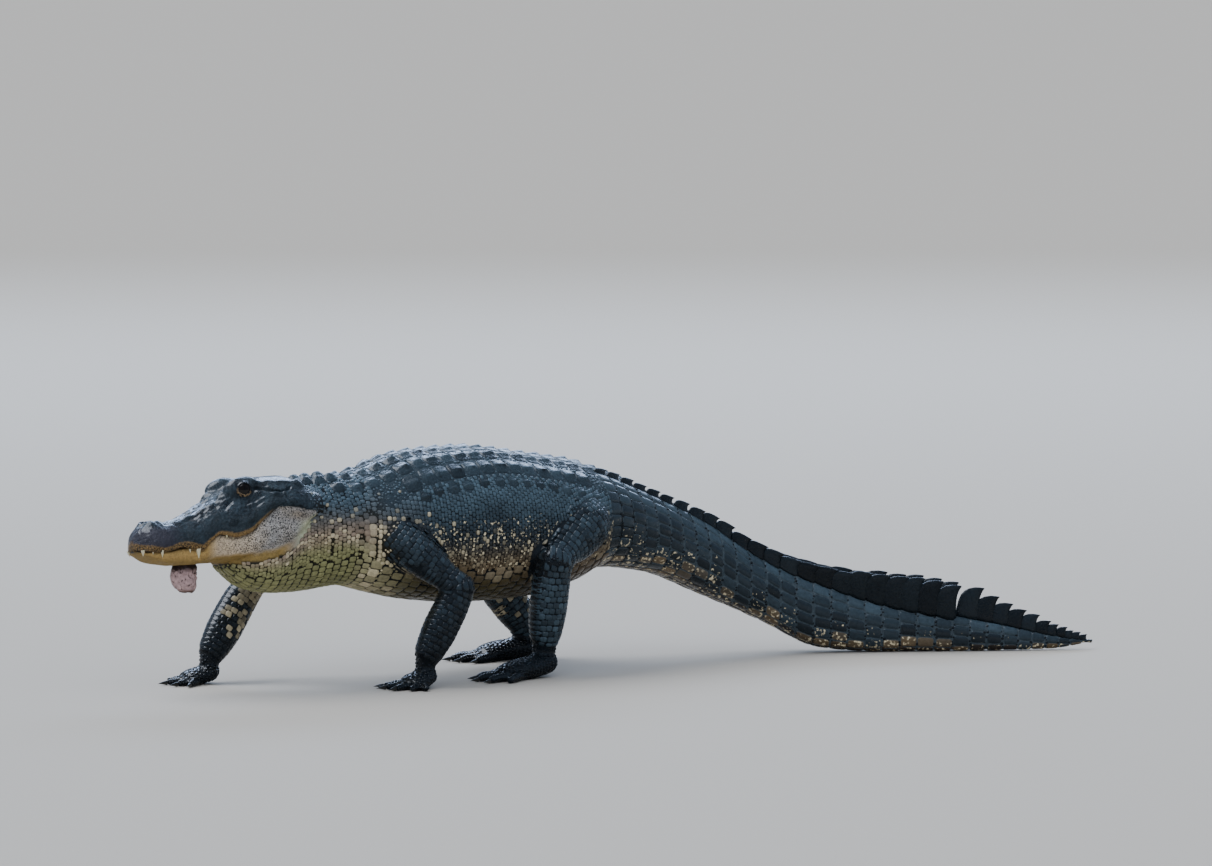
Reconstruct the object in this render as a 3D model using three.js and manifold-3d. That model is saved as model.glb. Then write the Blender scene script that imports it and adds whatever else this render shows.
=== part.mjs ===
/*
 * American alligator in its high walk, life size.
 * Millimetres, Z up, the floor at z = 0. The head points to -X and the tail to +X.
 * The animal's left side is -Y. The hip joint's plan position is the origin while
 * building; the finished group is moved to the bottom centre of its own box.
 */
import * as THREE from "three";
import { mergeVertices } from "three/addons/utils/BufferGeometryUtils.js";
import Module from "manifold-3d";

const wasm = await Module();
wasm.setup();
const { Manifold, Mesh: SolidMesh } = wasm;

// Gap that two touching pieces keep.
const GAP = 0.3;
// Points in a ring of each form, and the distance between the body's rings.
const BODY_SIDES = 16;
const HEAD_SIDES = 12;
const HEAD_STEPS = 20;
const LIMB_SIDES = 10;
const TOE_SIDES = 6;
const CLAW_SIDES = 6;
const TOOTH_SIDES = 5;
const LID_SIDES = 5;
const LID_STEPS = 11;
const RING_STEP = 50;
// A block larger than the animal, for cutting.
const BIG = 3000;

// Midline of throat, neck, trunk and tail: plan position, top and bottom of the flesh,
// half width, and the height of the tail crest above the flesh.
const SPINE = {
  chinFold: { x: -866, y: 25, top: 262, bottom: 250, half: 14, crest: 0 },
  throatFront: { x: -845, y: 23, top: 270, bottom: 226, half: 44, crest: 0 },
  throatDeep: { x: -798, y: 17, top: 296, bottom: 189, half: 74, crest: 0 },
  throatBack: { x: -755, y: 12, top: 330, bottom: 179, half: 84, crest: 0 },
  skullBack: { x: -704, y: 6, top: 378, bottom: 178, half: 90, crest: 0 },
  nape: { x: -610, y: -2, top: 388, bottom: 186, half: 90, crest: 0 },
  shoulderFront: { x: -543, y: -5, top: 402, bottom: 171, half: 106, crest: 0 },
  shoulder: { x: -447, y: -2, top: 427, bottom: 150, half: 130, crest: 0 },
  ribs: { x: -305, y: 0, top: 431, bottom: 136, half: 146, crest: 0 },
  belly: { x: -161, y: 2, top: 411, bottom: 139, half: 142, crest: 0 },
  loin: { x: -66, y: 1, top: 395, bottom: 160, half: 124, crest: 8 },
  hip: { x: 0, y: 0, top: 376, bottom: 183, half: 108, crest: 10 },
  tailRoot: { x: 121, y: -6, top: 328, bottom: 169, half: 86, crest: 12 },
  tailBend: { x: 254, y: -22, top: 267, bottom: 118, half: 67, crest: 20 },
  tailSlope: { x: 373, y: -57, top: 192, bottom: 63, half: 53, crest: 26 },
  tailLanding: { x: 476, y: -113, top: 143, bottom: 8, half: 43, crest: 36 },
  tailMiddle: { x: 575, y: -175, top: 102, bottom: -0.6, half: 33, crest: 60 },
  tailFork: { x: 670, y: -240, top: 76, bottom: -0.6, half: 25, crest: 68 },
  tailThin: { x: 766, y: -306, top: 54, bottom: -0.4, half: 17, crest: 44 },
  tailEnd: { x: 850, y: -356, top: 33, bottom: 1, half: 10, crest: 22 },
  tailTip: { x: 926, y: -394, top: 20, bottom: 13, half: 2.5, crest: 7 },
};

// Head profile along its own axis: distance ahead of the back of the skull, half width,
// top of the skull, line of the mouth and underside of the lower jaw, all in mm.
const HEAD = {
  skullEdge: { at: -8, half: 90, top: 374, mouth: 330, jaw: 308 },
  jowl: { at: 10, half: 97, top: 386, mouth: 330, jaw: 286 },
  jawHinge: { at: 30, half: 97, top: 390, mouth: 336, jaw: 266 },
  mouthCorner: { at: 62, half: 91, top: 391, mouth: 338, jaw: 251 },
  cheek: { at: 92, half: 83, top: 386, mouth: 319, jaw: 245 },
  eye: { at: 120, half: 75, top: 376, mouth: 293, jaw: 243 },
  eyeFront: { at: 148, half: 68, top: 364, mouth: 286, jaw: 242 },
  bridge: { at: 176, half: 62, top: 351, mouth: 292, jaw: 241 },
  lipRise: { at: 194, half: 60, top: 342, mouth: 282, jaw: 241 },
  lipBulge: { at: 216, half: 59, top: 332, mouth: 266, jaw: 240 },
  notch: { at: 250, half: 52, top: 321, mouth: 275, jaw: 240 },
  noseBack: { at: 274, half: 53, top: 320, mouth: 268, jaw: 243 },
  nostril: { at: 295, half: 50, top: 321, mouth: 267, jaw: 246 },
  noseFront: { at: 311, half: 40, top: 315, mouth: 268, jaw: 254 },
  snoutRound: { at: 321, half: 26, top: 304, mouth: 269, jaw: 259 },
  snoutTip: { at: 326, half: 9, top: 291, mouth: 271, jaw: 265 },
};
const HEAD_BACK = new THREE.Vector2(-704, 6);
const HEAD_TURN = THREE.MathUtils.degToRad(6.7);
const HEAD_ROLL = THREE.MathUtils.degToRad(6);
const ROLL_HEIGHT = 330;
const LIP_OVERHANG = 5;
const MOUTH_GAP = 0.4;
// Exponents of the rounded-square sections of skull and jaw; rings crowd towards the snout.
const SKULL_SQUARENESS = 2.35;
const JAW_SQUARENESS = 3;
const SNOUT_CROWDING = 1.25;

const EYE = { at: 117, side: 49, height: 373, radius: 14 };
const BROW = { at: 110, side: 36, height: 373, length: 76, width: 42, rise: 51 };
const LID = { long: 17.5, high: 12, thick: 3.2, ahead: 9.5, lean: 0.3, wrap: 0.035 };
const NOSTRIL = { at: 291, side: 14, height: 322, long: 11, wide: 4, deep: 12 };

// Upper teeth that hang over the closed lower lip: place along the head, length and width.
const TEETH = [
  { at: 313, length: 9, width: 5 },
  { at: 293, length: 11, width: 5.5 },
  { at: 280, length: 9, width: 5 },
  { at: 231, length: 10, width: 5.5 },
  { at: 215, length: 16, width: 7.5 },
  { at: 159, length: 8, width: 5 },
  { at: 147, length: 8, width: 5 },
];

// Fleshy growth that hangs from the floor of the mouth.
const GROWTH = { x: -915, y: 30, top: 243, root: 74, length: 50, width: 40, drop: 57 };

// Limb joints in mm; sizes are half depth along the stride and half thickness across it.
const FORE_LEFT = {
  shoulder: [-540, -92, 292],
  elbow: [-432, -166, 182],
  wrist: [-505, -156, 52],
  heading: -0.26,
};
const FORE_RIGHT = {
  shoulder: [-560, 92, 290],
  elbow: [-684, 163, 172],
  wrist: [-778, 152, 50],
  heading: 0.3,
};
const HIND_LEFT = {
  hip: [-72, -88, 300],
  knee: [-206, -158, 216],
  ankle: [-212, -138, 62],
  heading: -0.12,
};
const HIND_RIGHT = {
  hip: [-42, 78, 300],
  knee: [-118, 166, 168],
  ankle: [-34, 136, 54],
  heading: 0.2,
};
const UPPER_ARM = { root: 46, middle: 41, end: 31 };
const FOREARM = { root: 34, middle: 33, end: 24 };
const THIGH = { root: 62, middle: 55, end: 38 };
const SHANK = { root: 39, middle: 38, end: 25 };
const PALM = { length: 46, half: 30, thick: 15 };
const SOLE = { length: 96, half: 33, thick: 19 };
const FINGERS = { spread: [-0.95, -0.48, -0.06, 0.36, 0.85], length: [38, 46, 50, 44, 34] };
const TOES = { spread: [-0.42, -0.13, 0.15, 0.45], length: [72, 88, 92, 76] };
const CLAWED = 3;
const CLAW = { length: 21, root: 4.8 };
// How far the digits' axes are sunk, so that every digit rests on a narrow flat.
const PAD_LEVEL = -0.8;
// Height of the heel as a share of the ankle's, and extra height of the instep.
const HEEL_RISE = 0.4;
const INSTEP = 4;
// Half thickness of a digit as a share of the pad's, and of its tip as a share of its own.
const DIGIT_THICK = 0.56;
const DIGIT_TIP = 0.76;

// Keeled plates of the back: spacing along the body and sizes of one plate.
const ROW_STEP = 34;
const BACK_ROWS = { first: -592, count: 17, across: 3, pitch: 41 };
const BACK_PLATE = { length: 33, width: 39, front: 0.2, keel: 9, lean: 0.3, root: 3.5 };
const NAPE_PLATE = { length: 34, width: 36, front: 0.3, keel: 16, lean: 0.26, root: 4 };
const RUMP_ROWS = 3;
const CREST_PLATE = { length: 38, front: 0.5, lean: 0.62, root: 5 };
const CREST_UPRIGHT = 2;
const FORK_X = 706;

// Where the tail starts and how many lengths it is divided into.
const TAIL_X = 60;
const TAIL_NODES = 9;
const SEED = 41;

const COLOURS = {
  back: "#23282b",
  head: "#2c3031",
  jaw: "#8d8261",
  throat: "#a89e78",
  chest: "#33383a",
  leg: "#1d2225",
  tail: "#1f2426",
  eye: "#140d08",
  claw: "#1a1917",
  growth: "#a87f7c",
};
const SKIN_ROUGHNESS = 0.45;
const EYE_ROUGHNESS = 0.08;
const CLAW_ROUGHNESS = 0.3;

/** A repeatable draw between -1 and 1 for piece number n. */
function vary(n) {
  return 2 * THREE.MathUtils.euclideanModulo(Math.sin((n + SEED) * 12.9898) * 43758.5453, 1) - 1;
}

/** Smooth curve without overshoot through the values ys at the places xs. */
function smoothCurve(xs, ys) {
  const last = xs.length - 1;
  const rise = xs.slice(1).map((x, i) => (ys[i + 1] - ys[i]) / (x - xs[i]));
  const slope = xs.map((_, i) => {
    if (i === 0) return rise[0];
    if (i === last) return rise[last - 1];
    if (rise[i - 1] * rise[i] <= 0) return 0;
    return (2 * rise[i - 1] * rise[i]) / (rise[i - 1] + rise[i]);
  });
  return (x) => {
    const at = THREE.MathUtils.clamp(x, xs[0], xs[last]);
    const found = xs.findIndex((value, i) => i > 0 && at <= value);
    const i = Math.max(found, 1) - 1;
    const span = xs[i + 1] - xs[i];
    const t = (at - xs[i]) / span;
    const bend = ys[i] * (1 + 2 * t) * (1 - t) ** 2 + ys[i + 1] * t * t * (3 - 2 * t);
    return bend + span * (slope[i] * t * (1 - t) ** 2 - slope[i + 1] * t * t * (1 - t));
  };
}

/** One smooth curve for each size named in a table of stations, over the places given. */
function curvesOf(stations, places) {
  const rows = Object.values(stations);
  const keys = Object.keys(rows[0]);
  const curves = keys.map((key) => [key, smoothCurve(places, rows.map((row) => row[key]))]);
  return Object.fromEntries(curves);
}

/** A power of a sine or cosine that keeps its sign, for a rounded-square section. */
function roundedPower(value, power) {
  return Math.sign(value) * Math.abs(value) ** power;
}

/** A manifold solid from a closed three.js geometry. */
function solidFrom(geometry) {
  const bare = geometry.clone();
  bare.deleteAttribute("normal");
  bare.deleteAttribute("uv");
  const closed = mergeVertices(bare, 1e-3);
  return new Manifold(
    new SolidMesh({
      numProp: 3,
      vertProperties: new Float32Array(closed.getAttribute("position").array),
      triVerts: new Uint32Array(closed.getIndex().array),
    }),
  );
}

/** A closed solid through rings of points; every ring has the same number of points. */
function loft(rings) {
  const sides = rings[0].length;
  const points = rings.flat();
  const faces = [];
  for (let ring = 0; ring + 1 < rings.length; ring += 1) {
    for (let side = 0; side < sides; side += 1) {
      const next = (side + 1) % sides;
      const [a, b] = [ring * sides + side, ring * sides + next];
      faces.push([a, b, b + sides], [a, b + sides, a + sides]);
    }
  }
  for (const [ring, flip] of [[0, true], [rings.length - 1, false]]) {
    const centre = new THREE.Vector3();
    rings[ring].forEach((point) => centre.addScaledVector(point, 1 / sides));
    points.push(centre);
    for (let side = 0; side < sides; side += 1) {
      const edge = [ring * sides + side, ring * sides + ((side + 1) % sides)];
      if (flip) edge.reverse();
      faces.push([edge[0], edge[1], points.length - 1]);
    }
  }
  return closedSolid(points, faces);
}

/** A manifold solid from points and triangles, turned so that its faces look outward. */
function closedSolid(points, faces) {
  const volume = faces.reduce(
    (sum, [a, b, c]) => sum + points[a].dot(points[b].clone().cross(points[c])),
    0,
  );
  const outward = volume > 0 ? faces : faces.map(([a, b, c]) => [a, c, b]);
  const geometry = new THREE.BufferGeometry().setFromPoints(points);
  geometry.setIndex(outward.flat());
  return solidFrom(geometry);
}

/** A box solid from its lowest and highest corners, placed by a matrix. */
function block(low, high, matrix = new THREE.Matrix4()) {
  const size = high.map((value, i) => value - low[i]);
  const middle = high.map((value, i) => (value + low[i]) / 2);
  const geometry = new THREE.BoxGeometry(...size).translate(...middle);
  return solidFrom(geometry.applyMatrix4(matrix));
}

const ABOVE_FLOOR = block([-BIG, -BIG, 0], [BIG, BIG, BIG]);

/** The largest closed surface of a solid. */
function largest(solid) {
  const pieces = solid.decompose();
  return pieces.reduce((best, piece) => (piece.volume() > best.volume() ? piece : best));
}

/** One solid that is the union of a list. */
function joined(solids) {
  return Manifold.union(solids);
}

/** Spine of the animal: midline, frame and sections of neck, trunk and tail. */
class Spine {
  constructor(stations) {
    const rows = Object.values(stations);
    this.names = Object.keys(stations);
    this.places = [0];
    for (let i = 1; i < rows.length; i += 1) {
      const step = Math.hypot(rows[i].x - rows[i - 1].x, rows[i].y - rows[i - 1].y);
      this.places.push(this.places[i - 1] + step);
    }
    this.curves = curvesOf(stations, this.places);
    this.length = this.places.at(-1);
  }

  /** Distance along the midline of a named station. */
  placeOf(name) {
    return this.places[this.names.indexOf(name)];
  }

  /** Distance along the midline where it passes the given X. */
  placeAtX(x) {
    let [low, high] = [0, this.length];
    for (let step = 0; step < 30; step += 1) {
      const middle = (low + high) / 2;
      if (this.curves.x(middle) < x) low = middle;
      else high = middle;
    }
    return low;
  }

  /** Plan direction towards the tail and towards the animal's right. */
  frame(place) {
    const reach = 6;
    const [a, b] = [place - reach, place + reach];
    const along = new THREE.Vector3(
      this.curves.x(b) - this.curves.x(a),
      this.curves.y(b) - this.curves.y(a),
      0,
    ).normalize();
    const right = new THREE.Vector3(-along.y, along.x, 0);
    return { along, right };
  }

  /** Sizes of the section at a place, each grown outward by the given amount. */
  section(place, grow = 0) {
    const tailness = THREE.MathUtils.smoothstep(
      place,
      this.placeOf("hip"),
      this.placeOf("tailSlope"),
    );
    const [top, bottom] = [this.curves.top(place) + grow, this.curves.bottom(place) - grow];
    return {
      half: this.curves.half(place) + grow,
      top,
      bottom,
      waist: bottom + (top - bottom) * THREE.MathUtils.lerp(0.5, 0.44, tailness),
      squareness: THREE.MathUtils.lerp(2.25, 2.5, tailness),
    };
  }

  /** A point of the skin at a place and an angle: 0 is the right flank, half pi the back. */
  skin(place, angle, grow = 0) {
    const size = this.section(place, grow);
    const power = 2 / size.squareness;
    const side = size.half * roundedPower(Math.cos(angle), power);
    const lift = roundedPower(Math.sin(angle), power);
    const reach = lift > 0 ? size.top - size.waist : size.waist - size.bottom;
    const { right } = this.frame(place);
    return new THREE.Vector3(
      this.curves.x(place) + right.x * side,
      this.curves.y(place) + right.y * side,
      size.waist + reach * lift,
    );
  }

  /** The closed solid of the whole body, grown outward by the given amount. */
  solid(grow = 0) {
    const count = Math.round(this.length / RING_STEP);
    const rings = [];
    for (let ring = 0; ring <= count; ring += 1) {
      const place = this.length * (ring / count);
      const angles = Array.from({ length: BODY_SIDES }, (_, i) => (2 * Math.PI * i) / BODY_SIDES);
      rings.push(angles.map((angle) => this.skin(place, angle, grow)));
    }
    return loft(rings);
  }

  /**
   * Where a plate sits: a point at a distance round the skin from the back's midline.
   * A plate stands square to the skin, or turned towards the vertical by upright.
   */
  seat(place, round, upright = 0) {
    const step = 0.02;
    const sign = Math.sign(round) || 1;
    let angle = Math.PI / 2;
    let point = this.skin(place, angle);
    let gone = 0;
    while (gone < Math.abs(round)) {
      angle -= sign * step;
      const next = this.skin(place, angle);
      gone += next.distanceTo(point);
      point = next;
    }
    const reach = 8;
    const along = this.skin(place + reach, angle).sub(this.skin(place - reach, angle)).normalize();
    const across = this.skin(place, angle - step).sub(this.skin(place, angle + step)).normalize();
    const out = across.clone().cross(along).normalize();
    if (out.z < 0) out.negate();
    out.z += upright;
    return { point, along, across, out: out.normalize() };
  }

  /** A half space ahead of or behind a place, as a large block turned to the midline. */
  side(place, behind) {
    const { along, right } = this.frame(place);
    const [low, high] = behind ? [GAP / 2, BIG] : [-BIG, -GAP / 2];
    const matrix = new THREE.Matrix4()
      .makeBasis(along, right, new THREE.Vector3(0, 0, 1))
      .setPosition(this.curves.x(place), this.curves.y(place), 0);
    return block([low, -BIG, -BIG], [high, BIG, BIG], matrix);
  }
}

const spine = new Spine(SPINE);
const wholeBody = spine.solid();

/** A keeled plate: sunk corners under a ridge that rises towards the tail. */
function plate(seat, size, grow = 0) {
  const { point, along, across, out } = seat;
  const place = (a, b, c) =>
    point
      .clone()
      .addScaledVector(along, a * (size.length + 4 * grow))
      .addScaledVector(across, b * (size.width + 4 * grow))
      .addScaledVector(out, c + Math.sign(c) * grow);
  const corners = [[-0.5, -0.5], [0.5, -0.5], [0.5, 0.5], [-0.5, 0.5]];
  const frontKeel = -0.4;
  const points = [
    ...corners.map(([a, b]) => place(a, b, -size.root)),
    place(frontKeel, 0, size.front * size.keel),
    place(size.lean, 0, size.keel),
  ];
  const faces = [
    [0, 1, 2],
    [0, 2, 3],
    [0, 4, 5],
    [0, 5, 1],
    [3, 2, 5],
    [3, 5, 4],
    [0, 3, 4],
    [1, 5, 2],
  ];
  return closedSolid(points, faces);
}

/** All keeled plates of neck, back and tail, each with the place that it grows from. */
function allPlates() {
  const plates = [];
  const add = (place, round, size, upright = 0) => {
    const number = plates.length;
    const grown = { ...size, keel: size.keel * (1 + 0.12 * vary(number)) };
    const seat = spine.seat(place, round, upright);
    plates.push({ place, solid: plate(seat, grown), room: plate(seat, grown, GAP) });
  };
  const nape = [
    { x: -690, rounds: [-20, 20], share: 0.55 },
    { x: -662, rounds: [-22, 22], share: 1 },
    { x: -627, rounds: [-54, -19, 19, 54], share: 1 },
  ];
  for (const row of nape) {
    const size = { ...NAPE_PLATE, keel: NAPE_PLATE.keel * row.share };
    row.rounds.forEach((round) => add(spine.placeAtX(row.x), round, size));
  }
  const start = spine.placeAtX(BACK_ROWS.first);
  for (let row = 0; row < BACK_ROWS.count; row += 1) {
    const narrow = row === 0 || row === BACK_ROWS.count - 1 ? 1 : 0;
    for (let file = 0; file < BACK_ROWS.across - narrow; file += 1) {
      const round = (file + 0.5) * BACK_ROWS.pitch;
      const size = { ...BACK_PLATE, keel: BACK_PLATE.keel * (1 - 0.06 * file) };
      add(start + row * ROW_STEP, round, size);
      add(start + row * ROW_STEP, -round, size);
    }
  }
  const tailStart = start + BACK_ROWS.count * ROW_STEP;
  const fork = spine.placeAtX(FORK_X);
  for (let row = 0, at = tailStart; at < spine.length - 14; row += 1) {
    const share = at / spine.length;
    const [half, crest] = [spine.curves.half(at), spine.curves.crest(at)];
    const length = Math.min(CREST_PLATE.length, ROW_STEP * (1.9 - share));
    const size = { ...CREST_PLATE, length, keel: crest };
    if (at < fork) {
      const round = Math.max(half * 0.5, 8);
      const base = { ...size, width: 12 + half * 0.12 };
      add(at, round, base, CREST_UPRIGHT);
      add(at, -round, base, CREST_UPRIGHT);
      if (row < RUMP_ROWS) {
        const inner = { ...BACK_PLATE, width: 28, keel: 6 };
        add(at, round - 31, inner);
        add(at, 31 - round, inner);
      }
    } else {
      add(at, 0, { ...size, width: Math.min(12, half * 1.3) });
    }
    at += at < fork ? ROW_STEP : length * 0.86;
  }
  return plates;
}

const plates = allPlates();
const bodyRoom = joined([spine.solid(GAP), ...plates.map((item) => item.room)]);

/** A length of the body with the whole plates that root on it, clear of its neighbours'. */
function bodyLength(from, to, cuts = []) {
  const reach = CREST_PLATE.length;
  const own = plates.filter(({ place }) => place >= from && place < to);
  const before = plates.filter(({ place }) => place < from && place > from - reach);
  const after = plates.filter(({ place }) => place >= to && place < to + reach);
  let flesh = wholeBody;
  if (from > 0) flesh = flesh.intersect(spine.side(from, true));
  if (to < spine.length) flesh = flesh.intersect(spine.side(to, false));
  [...before, ...after].forEach(({ room }) => {
    flesh = flesh.subtract(room);
  });
  let scutes = joined(own.map(({ solid }) => solid));
  after.forEach(({ room }) => {
    scutes = scutes.subtract(room);
  });
  let solid = joined([flesh, scutes]);
  cuts.forEach((cut) => {
    solid = solid.subtract(cut);
  });
  return largest(solid.intersect(ABOVE_FLOOR));
}

const headPlaces = Object.values(HEAD).map((row) => row.at);
const headCurves = curvesOf(HEAD, headPlaces);

/** A point of the head from its distance forward, its side (right is plus) and height. */
function headPoint(forward, side, height) {
  const [c, s] = [Math.cos(HEAD_TURN), Math.sin(HEAD_TURN)];
  const [up, rolled] = [height - ROLL_HEIGHT, HEAD_ROLL];
  const out = side * Math.cos(rolled) + up * Math.sin(rolled);
  return new THREE.Vector3(
    HEAD_BACK.x - c * forward + s * out,
    HEAD_BACK.y + s * forward + c * out,
    ROLL_HEIGHT + up * Math.cos(rolled) - side * Math.sin(rolled),
  );
}

/** Rings of the upper head or the lower jaw, from the back of the skull to the snout. */
function jawRings(upper, grow) {
  const [first, last] = [headPlaces[0], headPlaces.at(-1)];
  const rings = [];
  for (let step = 0; step <= HEAD_STEPS; step += 1) {
    const share = 1 - (1 - step / HEAD_STEPS) ** SNOUT_CROWDING;
    const at = THREE.MathUtils.lerp(first, last, share);
    const ahead = step === 0 ? -grow : step === HEAD_STEPS ? grow : 0;
    const overhang = upper ? 0 : Math.min(LIP_OVERHANG, headCurves.half(at) * 0.3);
    const lip = THREE.MathUtils.smoothstep(at, HEAD.jowl.at, HEAD.eye.at);
    const half = headCurves.half(at) - overhang * lip + grow;
    const mouth = headCurves.mouth(at) + (upper ? 1 : -1) * (MOUTH_GAP / 2 - grow);
    const end = upper ? headCurves.top(at) + grow : headCurves.jaw(at) - grow;
    const power = 2 / (upper ? SKULL_SQUARENESS : JAW_SQUARENESS);
    const ring = [];
    for (let side = 0; side <= HEAD_SIDES; side += 1) {
      const angle = (Math.PI * side) / HEAD_SIDES;
      ring.push(
        headPoint(
          at + ahead,
          half * roundedPower(Math.cos(angle), power),
          mouth + (end - mouth) * roundedPower(Math.sin(angle), power),
        ),
      );
    }
    rings.push(ring);
  }
  return rings;
}

/** An ellipsoid in the head's frame; size is its length, width and height. */
function headBall(at, side, height, size, detail = 10) {
  const geometry = new THREE.SphereGeometry(0.5, detail, Math.round(detail * 0.6));
  const centre = headPoint(at, side, height);
  const axes = [
    headPoint(at + 1, side, height).sub(centre).multiplyScalar(-size[0]),
    headPoint(at, side + 1, height).sub(centre).multiplyScalar(size[1]),
    headPoint(at, side, height + 1).sub(centre).multiplyScalar(size[2]),
  ];
  const matrix = new THREE.Matrix4().makeBasis(...axes).setPosition(centre);
  return solidFrom(geometry.applyMatrix4(matrix));
}

/** A tooth that hangs from the upper lip. */
function tooth(size, side) {
  const mouth = headCurves.mouth(size.at);
  const lateral = side * (headCurves.half(size.at) - size.width * 0.35);
  const rings = [];
  for (const [share, width] of [[-0.5, 1], [1, 0.2]]) {
    const height = mouth - share * size.length;
    const ring = [];
    for (let i = 0; i < TOOTH_SIDES; i += 1) {
      const angle = (2 * Math.PI * i) / TOOTH_SIDES;
      const radius = (size.width / 2) * width;
      const inward = side * share * 1.2;
      ring.push(
        headPoint(
          size.at + radius * Math.cos(angle),
          lateral + radius * Math.sin(angle) - inward,
          height,
        ),
      );
    }
    rings.push(ring);
  }
  return loft(rings);
}

/** Rim of the eyelids: an elliptical ring round the eye, on the outer side of the brow. */
function lidRim(side) {
  const outward = headPoint(0, side, 0).sub(headPoint(0, 0, 0));
  const forward = headPoint(1, 0, 0).sub(headPoint(0, 0, 0));
  const centre = headPoint(EYE.at, side * (EYE.side + LID.ahead), EYE.height + 1);
  const shape = new THREE.EllipseCurve(0, 0, LID.long, LID.high);
  const section = shape.getPoints(LID_STEPS).slice(0, -1);
  const band = [];
  for (const point of section) {
    const inward = LID.lean * point.y + LID.wrap * point.x ** 2;
    const middle = centre
      .clone()
      .addScaledVector(forward, point.x)
      .addScaledVector(outward, -inward);
    middle.z += point.y;
    const away = forward.clone().multiplyScalar(point.x / LID.long);
    away.z += point.y / LID.high;
    away.normalize();
    const ring = [];
    for (let i = 0; i < LID_SIDES; i += 1) {
      const angle = (2 * Math.PI * i) / LID_SIDES;
      ring.push(
        middle
          .clone()
          .addScaledVector(away, LID.thick * Math.cos(angle))
          .addScaledVector(outward, 1.4 * LID.thick * Math.sin(angle)),
      );
    }
    band.push(ring);
  }
  const points = band.flat();
  const faces = [];
  const count = band.length;
  for (let ring = 0; ring < count; ring += 1) {
    const [here, next] = [ring * LID_SIDES, ((ring + 1) % count) * LID_SIDES];
    for (let i = 0; i < LID_SIDES; i += 1) {
      const after = (i + 1) % LID_SIDES;
      faces.push([here + i, here + after, next + after], [here + i, next + after, next + i]);
    }
  }
  return closedSolid(points, faces);
}

/** The upper head: skull, brows, lids, nostrils and the teeth that show. */
function upperHead() {
  const pieces = [loft(jawRings(true, 0))];
  const holes = [];
  for (const side of [-1, 1]) {
    const brow = [BROW.length, BROW.width, BROW.rise];
    pieces.push(headBall(BROW.at, side * BROW.side, BROW.height, brow));
    pieces.push(lidRim(side));
    TEETH.forEach((size) => pieces.push(tooth(size, side)));
    holes.push(eyeBall(side, GAP));
    const slot = [NOSTRIL.long, NOSTRIL.wide, NOSTRIL.deep];
    holes.push(headBall(NOSTRIL.at, side * NOSTRIL.side, NOSTRIL.height, slot, 6));
  }
  return largest(joined(pieces).subtract(joined(holes)));
}

/** An eyeball, grown by the gap when it cuts its own socket. */
function eyeBall(side, grow = 0) {
  const size = 2 * (EYE.radius + grow);
  return headBall(EYE.at, side * EYE.side, EYE.height, [size, size, size], 14);
}

const headLower = loft(jawRings(false, 0));
const toothRoom = joined(
  TEETH.flatMap((size) =>
    [-1, 1].map((side) => tooth({ ...size, length: size.length + 1, width: size.width + 1 }, side)),
  ),
);
const headRoom = joined([loft(jawRings(true, GAP)), loft(jawRings(false, GAP))]);

/**
 * A tube through stations of centre and two half sizes; ref points along the first.
 * Its rings stand square to the curve, or to the direction in facing where one is given.
 */
function tube(stations, ref, { sides = LIMB_SIDES, grow = 0, facing } = {}) {
  const places = stations.map((_, i) => i);
  const curve = new THREE.CatmullRomCurve3(
    stations.map((s) => new THREE.Vector3(...s.at)),
    false,
    "centripetal",
  );
  const deep = smoothCurve(places, stations.map((s) => s.deep));
  const thick = smoothCurve(places, stations.map((s) => s.thick ?? s.deep));
  const last = stations.length - 1;
  const rings = [];
  for (let step = 0; step <= last; step += 1) {
    const u = step / last;
    const centre = curve.getPoint(u);
    const along = facing ?? curve.getTangent(u);
    const first = ref.clone().addScaledVector(along, -ref.dot(along)).normalize();
    const second = along.clone().cross(first);
    if (step === 0) centre.addScaledVector(along, -grow);
    if (step === last) centre.addScaledVector(along, grow);
    const ring = [];
    for (let i = 0; i < sides; i += 1) {
      const angle = (2 * Math.PI * i) / sides;
      ring.push(
        centre
          .clone()
          .addScaledVector(first, (deep(step) + grow) * Math.cos(angle))
          .addScaledVector(second, (thick(step) + grow) * Math.sin(angle)),
      );
    }
    rings.push(ring);
  }
  return loft(rings);
}

/** A limb bone with its muscle: from one joint to the next, rounded over both. */
function bone(from, to, size, grow = 0) {
  const [a, b] = [new THREE.Vector3(...from), new THREE.Vector3(...to)];
  const along = b.clone().sub(a);
  const at = (share, past = 0) =>
    a
      .clone()
      .addScaledVector(along, share)
      .addScaledVector(along.clone().normalize(), past)
      .toArray();
  const flatness = 0.86;
  const station = (share, past, radius) => ({
    at: at(share, past),
    deep: radius,
    thick: radius * flatness,
  });
  const stations = [
    station(0, -size.root * 0.9, size.root * 0.35),
    station(0, -size.root * 0.45, size.root * 0.86),
    station(0.18, 0, size.root),
    station(0.52, 0, size.middle),
    station(0.86, 0, size.end),
    station(1, size.end * 0.42, size.end * 0.84),
    station(1, size.end * 0.84, size.end * 0.3),
  ];
  return tube(stations, new THREE.Vector3(1, 0, 0), { grow });
}

/** A rounded joint that fills the bend between a limb and its foot. */
function ankleBall(joint, radius) {
  const lowered = 4;
  const geometry = new THREE.SphereGeometry(radius, 8, 6);
  return solidFrom(geometry.translate(joint[0], joint[1], joint[2] - lowered));
}

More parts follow.
